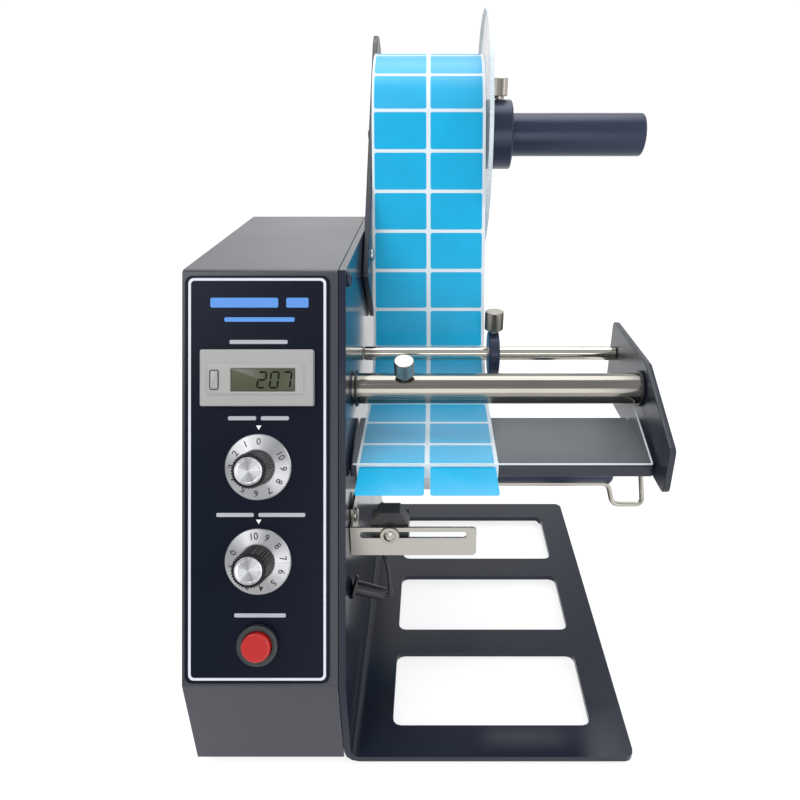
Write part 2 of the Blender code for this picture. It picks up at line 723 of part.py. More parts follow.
def counter():
    """The digital counter: a case with its bezel in one, the display window and the reset button."""
    case = empty("counter_centre", PANEL, (0, COUNTER_UP, 0))
    low = OVERLAY_TOP + GAP
    top = low + BEZEL_DEPTH
    bezel = block("counter_case", (-BEZEL_WIDTH / 2, -BEZEL_HEIGHT / 2, low),
                  (BEZEL_WIDTH / 2, BEZEL_HEIGHT / 2, top), ((0.80, 0.80, 0.80), 0.4, 0.0), case,
                  BEZEL_EDGE)
    floor = top - WINDOW_DEPTH - WINDOW_RECESS - GAP
    window_low = (WINDOW_SHIFT - WINDOW_WIDTH / 2, -WINDOW_DROP - WINDOW_HEIGHT / 2)
    window_high = (WINDOW_SHIFT + WINDOW_WIDTH / 2, -WINDOW_DROP + WINDOW_HEIGHT / 2)
    cut(bezel, block("window_cut", (window_low[0] - GAP, window_low[1] - GAP, floor),
                     (window_high[0] + GAP, window_high[1] + GAP, top + OVERRUN), parent=case))
    block("counter_window", (*window_low, floor + GAP), (*window_high, top - WINDOW_RECESS),
          ((0.20, 0.22, 0.10), 0.25, 0.0), case)
    reset_low = (-RESET_SHIFT - RESET_WIDTH / 2, -WINDOW_DROP - RESET_HEIGHT / 2)
    reset_high = (-RESET_SHIFT + RESET_WIDTH / 2, -WINDOW_DROP + RESET_HEIGHT / 2)
    reset_floor = top - RESET_DEPTH
    cut(bezel, block("reset_cut", (reset_low[0] - GAP, reset_low[1] - GAP, reset_floor - RESET_TRAVEL - GAP),
                     (reset_high[0] + GAP, reset_high[1] + GAP, top + OVERRUN), parent=case))
    block("reset_button", (*reset_low, reset_floor), (*reset_high, top + RESET_PROUD),
          ((0.85, 0.85, 0.85), 0.35, 0.0), case)
    cut(bezel, block("counter_back", (-COUNTER_WIDTH / 2, -COUNTER_HEIGHT / 2, -COUNTER_DEPTH),
                     (COUNTER_WIDTH / 2, COUNTER_HEIGHT / 2, low + GAP), parent=case), "UNION")


def knob(kind, up):
    """A potentiometer under the panel, its nut, and the aluminium skirted knob on its spindle."""
    axis = empty(kind + "_knob_axis", PANEL, (0, up, 0))
    inside = -COVER_SHEET - GAP
    body_low = inside - POT_DEPTH
    nut_low = OVERLAY_TOP + GAP
    bush_top = nut_low + NUT_THICKNESS
    bore = SPINDLE_RADIUS + GAP
    turned(kind + "_potentiometer", [(bore, bush_top), (NUT_RADIUS, bush_top), (NUT_RADIUS, nut_low),
                                     (BUSH_RADIUS, nut_low), (BUSH_RADIUS, inside),
                                     (POT_RADIUS, inside), (POT_RADIUS, body_low), (bore, body_low)],
           STEEL, axis, sides=SMALL_SIDES * 2, ring=True)
    rim = OVERLAY_TOP + SKIRT_LIFT
    crown = bush_top + GAP + SKIRT_EDGE
    hollow = crown - SKIRT_EDGE + GAP
    shoulder = KNOB_BASE_RADIUS + GAP
    turned(kind + "_knob_skirt", [(bore, crown), (shoulder, crown), (SKIRT_RADIUS - GAP, rim + SKIRT_EDGE),
                                  (SKIRT_RADIUS, rim + SKIRT_EDGE - GAP), (SKIRT_RADIUS, rim),
                                  (SKIRT_HOLLOW, rim), (SKIRT_HOLLOW - GAP, hollow), (bore, hollow)],
           ((0.75, 0.75, 0.75), 0.3, 1.0), axis, sides=FINE_SIDES, ring=True)
    grip_low = crown + GAP
    grip_top = grip_low + KNOB_HEIGHT
    grip = fluted(kind + "_knob_grip", KNOB_BASE_RADIUS, KNOB_TOP_RADIUS, grip_low, grip_top, KNOB_FLUTES,
                  KNOB_FLUTE_DEPTH, BLACK_PLASTIC, axis)
    cap_floor = grip_top - CAP_THICKNESS
    cut(grip, turned(kind + "_grip_cut", [(0, grip_top + OVERRUN), (CAP_RADIUS + GAP, grip_top + OVERRUN),
                                          (CAP_RADIUS + GAP, cap_floor), (bore, cap_floor),
                                          (bore, grip_low - OVERRUN), (0, grip_low - OVERRUN)], parent=axis))
    turned(kind + "_knob_cap", [(0, grip_top), (CAP_RADIUS, grip_top), (CAP_RADIUS, cap_floor + GAP),
                                (SPINDLE_RADIUS, cap_floor + GAP), (SPINDLE_RADIUS, body_low + GAP),
                                (0, body_low + GAP)], ((0.8, 0.8, 0.8), 0.25, 1.0), axis)


def power_switch():
    """The round lit push button, its ring and the switch body behind the panel."""
    axis = empty("power_axis", PANEL, (0, POWER_UP, 0))
    low = OVERLAY_TOP + GAP
    top = low + POWER_BEZEL_HEIGHT
    bore = BUTTON_RADIUS + GAP
    button_top = top + BUTTON_PROUD
    button_low = OVERLAY_TOP - SWITCH_POCKET + BUTTON_TRAVEL + GAP
    turned("power_button", [(0, button_top), (BUTTON_RADIUS / 2, button_top - BUTTON_CROWN / 4),
                            (BUTTON_RADIUS - BUTTON_CROWN / 4, button_top - BUTTON_CROWN),
                            (BUTTON_RADIUS, button_top - BUTTON_CROWN * 2), (BUTTON_RADIUS, button_low),
                            (0, button_low)], ((0.75, 0.03, 0.03), 0.2, 0.0), axis)
    floor = OVERLAY_TOP - SWITCH_POCKET
    turned("power_switch", [(0, floor), (bore, floor), (bore, top), (POWER_BEZEL_RADIUS - BUTTON_CROWN, top),
                            (POWER_BEZEL_RADIUS, low + BUTTON_CROWN), (POWER_BEZEL_RADIUS, low),
                            (SWITCH_RADIUS, low), (SWITCH_RADIUS, -SWITCH_DEPTH), (0, -SWITCH_DEPTH)],
           BLACK_PLASTIC, axis)


def gear(name, teeth, bore, low, high, look, parent):
    """A spur gear with straight sided teeth, the first on its own X axis."""
    pitch = GEAR_MODULE * teeth / 2
    tip, root = pitch + GEAR_MODULE * TOOTH_TIP, pitch - GEAR_MODULE * TOOTH_ROOT
    quarter = GEAR_MODULE * math.pi / 4 - TOOTH_PLAY
    points = []
    for number in range(teeth):
        middle = math.tau * number / teeth
        for radius, half in ((root, quarter * ROOT_SHARE), (tip, quarter * TIP_SHARE), (tip,
                                                                                        -quarter * TIP_SHARE),
                             (root, -quarter * ROOT_SHARE)):
            angle = middle - half / radius
            points.append((radius * math.cos(angle), radius * math.sin(angle)))
    holes = [circle((0, 0), bore)] if bore else []
    return flat(name, [points, *holes], low, high, look, parent)


def drive():
    """Gear motor, pinion, wheel, bearing and the take up shaft that winds the liner."""
    axis = empty("take_up_axis", at=(0, TAKE_UP_Y, TAKE_UP_Z), turn=ALONG_X)
    bush_left = PLATE_LEFT - BEARING_FLANGE
    shaft = [(0, TAKE_UP_END), (TAKE_UP_RADIUS - TAKE_UP_CHAMFER, TAKE_UP_END),
             (TAKE_UP_RADIUS, TAKE_UP_END - TAKE_UP_CHAMFER), (TAKE_UP_RADIUS, BEARING_FLANGE + 2 * GAP),
             (STUB_RADIUS, BEARING_FLANGE + 2 * GAP), (STUB_RADIUS, GEAR_LEFT), (0, GEAR_LEFT)]
    spindle = turned("take_up_shaft", shaft, BLACK_METAL, axis)
    groove_floor = CLIP_LEG_RADIUS - WIRE_RADIUS - GAP
    half = WIRE_RADIUS + GAP
    turn = empty("clip_turn", axis, turn=(0, 0, CLIP_ANGLE))
    for name, low, high in (("near_groove", groove_floor, TAKE_UP_RADIUS + OVERRUN),
                            ("far_groove", -TAKE_UP_RADIUS - OVERRUN, -groove_floor)):
        cut(spindle, block(name + "_cut", (-half, low, CLIP_START - GAP),
                           (half, high, TAKE_UP_END + OVERRUN), parent=turn))
    bore = STUB_RADIUS + GAP
    turned("take_up_bearing", [(bore, BEARING_FLANGE + GAP), (BEARING_FLANGE_RADIUS, BEARING_FLANGE + GAP),
                               (BEARING_FLANGE_RADIUS, GAP), (BEARING_RADIUS, GAP), (BEARING_RADIUS,
                                                                                     bush_left),
                               (bore, bush_left)], STEEL, axis, ring=True)
    tube("wound_liner", WOUND_OUTER, WOUND_INNER, WEB_LEFT, WEB_RIGHT, ((LINER_WHITE), 0.6, 0.0), axis)
    gear("drive_wheel", WHEEL_TEETH, bore, GEAR_LEFT, GEAR_RIGHT, ((0.75, 0.72, 0.62), 0.5, 0.0), axis)

    motor = empty("motor_axis", at=(0, PINION_Y, TAKE_UP_Z), turn=ALONG_X)
    pinion = gear("motor_pinion", PINION_TEETH, 0, GEAR_LEFT, GEAR_RIGHT, ((0.72, 0.55, 0.25), 0.3, 1.0),
                  motor)
    case_right = GEAR_LEFT - 2 * GAP
    case_left = case_right - GEARBOX_LENGTH
    shaft_bore = MOTOR_SHAFT_RADIUS + GAP
    pocket = case_right - GEARBOX_LENGTH / 2
    case = turned("gear_motor", [(0, pocket), (shaft_bore, pocket), (shaft_bore, case_right),
                                 (GEARBOX_RADIUS, case_right), (GEARBOX_RADIUS, case_left),
                                 (MOTOR_RADIUS, case_left), (MOTOR_RADIUS, case_left - MOTOR_LENGTH),
                                 (0, case_left - MOTOR_LENGTH)], STEEL, motor)
    cut(pinion, rod("motor_shaft", MOTOR_SHAFT_RADIUS, pocket + GAP, GEAR_LEFT + GEAR_WIDTH / 2, parent=motor,
                    sides=SMALL_SIDES), "UNION")
    reach = GEARBOX_RADIUS - STANDOFF_RADIUS
    for number, angle in enumerate((STANDOFF_ANGLE, -STANDOFF_ANGLE)):
        post_at = (-reach * math.sin(angle), reach * math.cos(angle), 0)
        cut(case, rod("motor_post_%d" % (number + 1), STANDOFF_RADIUS, case_right - OVERRUN, PLATE_LEFT - GAP,
                      parent=motor, at=post_at, sides=SMALL_SIDES), "UNION")


def liner_clip():
    """The bent wire whose two legs lie in grooves along the take up shaft."""
    spoke = Vector((0, math.cos(CLIP_ANGLE), math.sin(CLIP_ANGLE)))
    centre = Vector((0, TAKE_UP_Y, TAKE_UP_Z))
    along = Vector((1, 0, 0))
    stations = [(CLIP_START, CLIP_LEG_RADIUS), (CLIP_DROP_X, CLIP_LEG_RADIUS),
                (CLIP_DROP_X + CLIP_BEND / 2, CLIP_REACH),
                (CLIP_END_X, CLIP_REACH), (CLIP_END_X, -CLIP_LEG_RADIUS), (CLIP_START, -CLIP_LEG_RADIUS)]
    points = [Vector(stations[0])]
    for before, here, after in zip(stations, stations[1:], stations[2:]):
        points += corner(before, here, after, CLIP_BEND)
    points.append(Vector(stations[-1]))
    route = [centre + along * p.x + spoke * p.y for p in points]
    wire("liner_clip", route, WIRE_RADIUS, CHROMED)


def platform_side():
    """Peeling platform, end plate, guide rod and what is on them."""
    block("platform", (GAP, PLATFORM_FRONT, PLATFORM_TOP - PLATFORM_THICKNESS),
          (SPAN - GAP, PLATFORM_BACK, PLATFORM_TOP), BLACK_METAL, edge=PLATFORM_EDGE, steps=2)
    plate = outline([(END_FRONT, END_BOTTOM), (END_FRONT, END_SHOULDER), (END_TOP_FRONT, END_TOP),
                     (END_BACK, END_TOP), (END_BACK, END_BOTTOM)], END_CORNER)
    flat("end_plate", [list(reversed(plate)), circle((BAR_Y, BAR_Z), JOURNAL_RADIUS + GAP,
                                                     ROUND_SIDES)], END_LEFT,
         END_RIGHT, BLACK_METAL, turn=FACING_X)
    rod("guide_rod", ROD_RADIUS, GAP, SPAN - GAP, CHROMED, at=(0, ROD_Y, ROD_Z), turn=ALONG_X)
    y, z = PLATE_SCREW
    dome_screw("plate_screw", SCREW_RADIUS, SCREW_HEAD, BLACK_METAL, (0, y, z), ALONG_X)


def thumb_screw(name, radius, height, seat, tip, parent, at, turn=(0, 0, 0)):
    """A knurled thumb screw: grip, neck and shank, in one solid, standing on seat and ending at tip."""
    neck_top = seat + GAP + THUMB_NECK
    grip = fluted(name, radius, radius, neck_top, neck_top + height, THUMB_FLUTES, THUMB_FLUTE_DEPTH,
                  NICKELLED,
                  parent, at, turn)
    stem = turned(name + "_stem", [(0, neck_top + THUMB_NECK), (THUMB_NECK_RADIUS, neck_top + THUMB_NECK),
                                   (THUMB_NECK_RADIUS, seat + GAP), (THUMB_SHANK_RADIUS, seat + GAP),
                                   (THUMB_SHANK_RADIUS, tip), (0, tip)], parent=parent, at=at, turn=turn,
                  sides=SMALL_SIDES)
    return cut(grip, stem, "UNION")


def press():
    """The press bar, the clear plate under it and the screw that clamps them together."""
    reach_low = BAR_RADIUS + GAP + PRESS_THICKNESS
    drop = BAR_Z - WEB_LOW - WEB_THICKNESS - PRESS_LIFT
    corner_reach = math.hypot(PRESS_FRONT, drop)
    along = math.sqrt(corner_reach ** 2 - reach_low ** 2)
    tilt = math.atan2(drop, PRESS_FRONT) - math.atan2(reach_low, along)
    axis = empty("press_axis", at=(0, BAR_Y, BAR_Z), turn=(tilt, 0, 0))
    hole = THUMB_SHANK_RADIUS + GAP
    journal = JOURNAL_RADIUS
    left, right = GAP, SPAN - GAP
    ring_left, ring_right = left + BAR_RING_WIDTH, right - BAR_RING_WIDTH
    bar = turned("press_bar", [(0, END_RIGHT), (journal, END_RIGHT), (journal, right),
                               (BAR_RING_RADIUS, right),
                               (BAR_RING_RADIUS, ring_right), (BAR_RADIUS, ring_right), (BAR_RADIUS,
                                                                                         ring_left),
                               (BAR_RING_RADIUS, ring_left), (BAR_RING_RADIUS, left), (journal, left),
                               (journal, PLATE_LEFT), (0, PLATE_LEFT)], CHROMED, axis, turn=ALONG_X)
    cut(bar, rod("bar_screw_cut", hole, -BAR_RADIUS - OVERRUN, BAR_RADIUS + OVERRUN, parent=axis,
                 at=(PRESS_SCREW_X, 0, 0), sides=SMALL_SIDES))
    inset = ring_left + GAP
    plate = rectangle(inset, -along, SPAN - 2 * inset, along + PRESS_BACK, PRESS_CORNER)
    flat("press_plate", [plate, circle((PRESS_SCREW_X, 0), hole)], -reach_low, -reach_low + PRESS_THICKNESS,
         ((0.85, 0.90, 0.92), 0.05, 0.0, 0.3), axis)
    thumb_screw("press_screw", THUMB_RADIUS, THUMB_HEIGHT, BAR_RADIUS, -reach_low - SHANK_PAST, axis,
                (PRESS_SCREW_X, 0, 0))


def ring_with_screw(name, screw_name, radius, bore, low, width, centre, head, look, edge):
    """A clamping ring on a horizontal shaft, with a thumb screw in its top."""
    y, z, shaft = centre
    ring = tube(name, radius, bore, low, low + width, look, at=(0, y, z), turn=ALONG_X,
                sides=FINE_SIDES, edge=edge)
    middle = low + width / 2
    cut(ring, rod(name + "_screw_cut", THUMB_SHANK_RADIUS + GAP, 0, radius + OVERRUN, at=(middle, y, z),
                  sides=SMALL_SIDES))
    thumb_screw(screw_name, head[0], head[1], radius, shaft + GAP, None, (middle, y, z))


def spool():
    """The tilted arm, the shaft for the roll, the clear flange and its collar."""
    axis = empty("arm_line", at=(0, SPOOL_Y, SPOOL_Z), turn=(ARM_TILT, 0, 0))
    half = ARM_WIDTH / 2
    arm = outline([(-ARM_BELOW, -half), (ARM_ABOVE, -half), (ARM_ABOVE, half), (-ARM_BELOW, half)],
                  [ARM_FOOT_CORNER, ARM_HEAD_CORNER, ARM_HEAD_CORNER, ARM_FOOT_CORNER])
    flat("spool_arm", [arm], GAP, ARM_RIGHT, BLACK_METAL, axis, turn=FACING_X)
    profile = [(0, SPOOL_END), (SPOOL_RADIUS - SPOOL_CHAMFER, SPOOL_END), (SPOOL_RADIUS,
                                                                           SPOOL_END - SPOOL_CHAMFER),
               (SPOOL_RADIUS, ARM_RIGHT + GAP), (0, ARM_RIGHT + GAP)]
    turned("spool_shaft", profile, BLACK_METAL, at=(0, SPOOL_Y, SPOOL_Z), turn=ALONG_X)
    for name, side in (("front", ARM_SCREW_SIDE), ("rear", -ARM_SCREW_SIDE)):
        dome_screw("arm_screw_" + name, SCREW_RADIUS, SCREW_HEAD, STEEL, (ARM_RIGHT, -ARM_SCREW_DOWN, side),
                   ALONG_X, axis)
    dome_screw("spool_screw", BIG_SCREW_RADIUS, BIG_SCREW_HEAD, BLACK_METAL, (GAP, SPOOL_Y, SPOOL_Z),
               AGAINST_X)

    bore = SPOOL_RADIUS + SPOOL_PLAY
    centre = (0, SPOOL_Y, SPOOL_Z)
    tube("roll_core", bore + CORE_WALL, bore, WEB_LEFT + GAP, WEB_RIGHT, ((0.45, 0.33, 0.22), 0.8,
                                                                          0.0), at=centre,
         turn=ALONG_X)
    tube("label_roll", ROLL_RADIUS, bore + CORE_WALL + GAP, WEB_LEFT + GAP, WEB_RIGHT, (LABEL_BLUE,
                                                                                        0.35, 0.0),
         at=centre, turn=ALONG_X, sides=FINE_SIDES * 2)
    snug = SPOOL_RADIUS + SLIDE_GAP
    tube("clear_flange", DISC_RADIUS, snug, DISC_LEFT, DISC_LEFT + DISC_THICKNESS,
         ((0.80, 0.85, 0.88), 0.1, 0.0, 0.4), at=centre, turn=ALONG_X, sides=FINE_SIDES * 2)
    ring_with_screw("flange_collar", "collar_screw", COLLAR_RADIUS, snug, COLLAR_LEFT, COLLAR_WIDTH,
                    (SPOOL_Y, SPOOL_Z, SPOOL_RADIUS), (TALL_THUMB_RADIUS, TALL_THUMB_HEIGHT), BLACK_METAL,
                    COLLAR_EDGE)
    ring_with_screw("guide_ring", "ring_screw", RING_RADIUS, ROD_RADIUS + SLIDE_GAP, RING_LEFT, RING_WIDTH,
                    (ROD_Y, ROD_Z, ROD_RADIUS), (TALL_THUMB_RADIUS, TALL_THUMB_HEIGHT), BLACK_METAL,
                    COLLAR_EDGE)


def tangent(centre, radius, point, side):
    """The point where a line from point touches a circle, on the side given by its sign."""
    away = Vector(point) - Vector(centre)
    turn = math.acos(radius / away.length) * side
    direction = away.normalized()
    turned_to = Vector((direction.x * math.cos(turn) - direction.y * math.sin(turn),
                        direction.x * math.sin(turn) + direction.y * math.cos(turn)))
    return Vector(centre) + turned_to * radius


def arc(centre, radius, start, end, steps=ARC_STEPS):
    turns = [start + (end - start) * i / steps for i in range(steps + 1)]
    return [Vector((centre[0] + radius * math.cos(t), centre[1] + radius * math.sin(t))) for t in turns]


def web_route():
    """The liner's middle line as (y, z): roll, loose bend, platform, peeling edge, take up shaft."""
    clear = GAP * 1.5 + WEB_THICKNESS / 2
    bend = Vector((WEB_BEND_Y, WEB_BEND_Z))
    leave = tangent((SPOOL_Y, SPOOL_Z), ROLL_RADIUS + clear, bend, -1)
    fall = (bend - leave).normalized()
    land = Vector((WEB_LAND_Y, WEB_MIDDLE))
    first, second = bend + fall * WEB_BEND_PULL, land + Vector((WEB_LAND_PULL, 0))
    route = [leave + (bend - leave) * i / WEB_SIDE_STEPS for i in range(WEB_SIDE_STEPS)]
    for step in range(WEB_BEND_STEPS + 1):
        t = step / WEB_BEND_STEPS
        s = 1 - t
        route.append(bend * s ** 3 + first * 3 * s * s * t + second * 3 * s * t * t + land * t ** 3)
    edge = PLATFORM_EDGE
    turn_radius = edge + GAP + WEB_THICKNESS / 2
    over = (PLATFORM_FRONT + edge, PLATFORM_TOP - edge)
    under = (PLATFORM_FRONT + edge, PLATFORM_TOP - PLATFORM_THICKNESS + edge)
    route += arc(over, turn_radius, math.pi / 2, math.pi)
    winding = (TAKE_UP_Y, TAKE_UP_Z)
    end = tangent(winding, WOUND_OUTER + clear, under, -1)
    line = (Vector(under) - end).normalized()
    lower_turn = math.atan2(line.y, line.x) + math.pi / 2
    route += arc(under, turn_radius, math.pi, lower_turn)
    route.append(end)
    return route


def label_material():
    """The liner on its way through the machine and the two labels that stand off its front edge."""
    curve = bpy.data.curves.new("liner_path", "CURVE")
    curve.dimensions = "2D"
    curve.fill_mode = "NONE"
    curve.extrude = WEB_WIDTH / 2
    route = web_route()
    spline = curve.splines.new("POLY")
    spline.points.add(len(route) - 1)
    for target, point in zip(spline.points, route):
        target.co = (point.x, point.y, 0, 1)
    mesh = mesh_from_curve("label_web", curve)
    web = place(add("label_web", mesh, (LABEL_BLUE, 0.35, 0.0)), at=(WEB_LEFT + WEB_WIDTH / 2, 0, 0),
                turn=FACING_X)
    wall = web.modifiers.new("Paper", "SOLIDIFY")
    wall.thickness = WEB_THICKNESS
    wall.offset = 0
    wall.use_even_offset = True
    margin = (WEB_WIDTH - 2 * LABEL_WIDTH - LABEL_GAP) / 2
    tail = PLATFORM_FRONT - LABEL_STAND_OFF
    second = WEB_LEFT + margin + LABEL_WIDTH + LABEL_GAP
    for name, left in (("left", WEB_LEFT + margin), ("right", second)):
        shape = outline([(left, LABEL_TIP), (left + LABEL_WIDTH, LABEL_TIP), (left + LABEL_WIDTH, tail),
                         (left, tail)], LABEL_CORNER)
        flat("peeled_label_" + name, [shape], WEB_LOW, WEB_LOW + WEB_THICKNESS, (LABEL_BLUE, 0.35, 0.0))


def label_sensor():
    """The slotted bracket, the photo sensor that slides along it, and its lead into the side plate."""
    low, high = BRACKET_LOW, BRACKET_LOW + BRACKET_HEIGHT
    front, back = BRACKET_FRONT, BRACKET_FRONT + BRACKET_SHEET
    left = GAP
    bracket = block("sensor_bracket", (left, front, low), (left + BRACKET_SHEET, BRACKET_BACK,
                                                           BRACKET_TAB_TOP),
                    STEEL)
    cut(bracket, block("bracket_tab_cut", (left - OVERRUN, front - OVERRUN, high),
                       (left + BRACKET_SHEET + OVERRUN,
                       front + (BRACKET_SCREW_Y - front) / 2, BRACKET_TAB_TOP + OVERRUN)))
    right = left + BRACKET_LENGTH
    face = outline([(left, low), (right, low), (right, high), (left, high)],
                   [0, BRACKET_CORNER, BRACKET_CORNER, 0])
    slot = rectangle(SLOT_LEFT, SLOT_Z - SLOT_WIDTH / 2, SLOT_LENGTH, SLOT_WIDTH, SLOT_WIDTH / 2 - GAP)
    cut(bracket, flat("bracket_face", [face, slot], -back, -front, turn=FACING_BACK), "UNION")

    sensor = empty("sensor_line", at=(SENSOR_X, back + GAP, 0), turn=FACING_BACK)
    wide, narrow = SENSOR_WIDTH / 2, SENSOR_TOP_WIDTH / 2
    body = [(-wide, SENSOR_LOW), (wide, SENSOR_LOW), (wide, SENSOR_SHOULDER), (narrow, SENSOR_TOP),
            (-narrow, SENSOR_TOP), (-wide, SENSOR_SHOULDER)]
    block_body = flat("photo_sensor", [body], -SENSOR_DEPTH, 0, BLACK_PLASTIC, sensor)
    cut(block_body, block("sensor_back_cut", (-wide - OVERRUN, SENSOR_SHOULDER, -SENSOR_DEPTH - OVERRUN),
                          (wide + OVERRUN, SENSOR_TOP + OVERRUN, -SENSOR_TOP_DEPTH), parent=sensor))
    hole_end = -SENSOR_DEPTH / 2
    cut(block_body, rod("sensor_hole_cut", SENSOR_SHANK_RADIUS + GAP, hole_end - GAP, OVERRUN, parent=sensor,
                        at=(0, SLOT_Z, 0), sides=SMALL_SIDES))
    face_out = GAP + BRACKET_SHEET + GAP
    washer_top = face_out + SENSOR_WASHER
    head = washer_top + SENSOR_SCREW_HEAD
    turned("sensor_screw", [(0, head), (SENSOR_SCREW_RADIUS - SENSOR_WASHER / 2, head - SENSOR_WASHER / 4),
                            (SENSOR_SCREW_RADIUS, head - SENSOR_WASHER), (SENSOR_SCREW_RADIUS, washer_top),
                            (SENSOR_WASHER_RADIUS, washer_top), (SENSOR_WASHER_RADIUS, face_out),
                            (SENSOR_SHANK_RADIUS, face_out), (SENSOR_SHANK_RADIUS, hole_end), (0, hole_end)],
           STEEL, sensor, (0, SLOT_Z, 0), sides=SMALL_SIDES * 2)

    dome_screw("bracket_screw", SCREW_RADIUS, SCREW_HEAD, CHROMED,
               (left + BRACKET_SHEET, BRACKET_SCREW_Y, BRACKET_SCREW_Z), ALONG_X)
    droop = empty("gland_line", at=(0, GLAND_Y, GLAND_Z), turn=(0, math.pi / 2 + GLAND_DROOP, 0))
    base = turned("gland_base", [(0, GAP + GLAND_FLANGE), (GLAND_FLANGE_RADIUS, GAP + GLAND_FLANGE),
                                 (GLAND_FLANGE_RADIUS, GAP), (GLAND_RADIUS - GAP, GAP),
                                 (GLAND_RADIUS - GAP, PLATE_LEFT), (0, PLATE_LEFT)], at=(0, GLAND_Y, GLAND_Z),
                  turn=ALONG_X, sides=SMALL_SIDES)
    gland = turned("cable_gland", [(0, GLAND_LENGTH), (GLAND_END_RADIUS, GLAND_LENGTH), (GLAND_RADIUS,
                                                                                         GLAND_FLANGE),
                                   (0, GLAND_FLANGE)], BLACK_PLASTIC, droop, sides=SMALL_SIDES)
    cut(gland, base, "UNION")
    cut(gland, rod("gland_bore_cut", GLAND_BORE, GLAND_LENGTH - GLAND_BORE_DEPTH, GLAND_LENGTH + OVERRUN,
                   parent=droop, sides=SMALL_SIDES))
    cable()


def smooth_route(points, steps):
    """Points on a Catmull-Rom curve through the given ones, ends included."""
    ends = [points[0] * 2 - points[1], *points, points[-1] * 2 - points[-2]]
    route = []
    for a, b, c, d in zip(ends, ends[1:], ends[2:], ends[3:]):
        for step in range(steps):
            t = step / steps
            route.append((b * 2 + (c - a) * t + (a * 2 - b * 5 + c * 4 - d) * t * t
                          + (b * 3 - a - c * 3 + d) * t ** 3) / 2)
    route.append(points[-1])
    return route


def cable():
    """The sensor's lead, from under the sensor down and back into the mouth of its gland."""
    out = Vector((math.cos(GLAND_DROOP), 0, -math.sin(GLAND_DROOP)))
    root = Vector((0, GLAND_Y, GLAND_Z))
    mouth = root + out * GLAND_LENGTH
    seat = root + out * (GLAND_LENGTH - GLAND_BORE_DEPTH + GAP)
    under = Vector((SENSOR_X - SENSOR_WIDTH / 4, BRACKET_FRONT + BRACKET_SHEET + SENSOR_DEPTH / 2,
                    SENSOR_LOW - GAP))
    down = Vector((0, 0, -1))
    belly = Vector((CABLE_BELLY_X, (under.y + mouth.y) / 2, (under.z + mouth.z) / 2))
    low = mouth + out * CABLE_LOOP + Vector((0, 0, CABLE_LOOP / 2))
    points = [under, under + down * CABLE_RADIUS * 4, belly, low, mouth + out * CABLE_RADIUS, seat]
    wire("sensor_cable", smooth_route(points, CABLE_STEPS), CABLE_RADIUS, BLACK_PLASTIC)


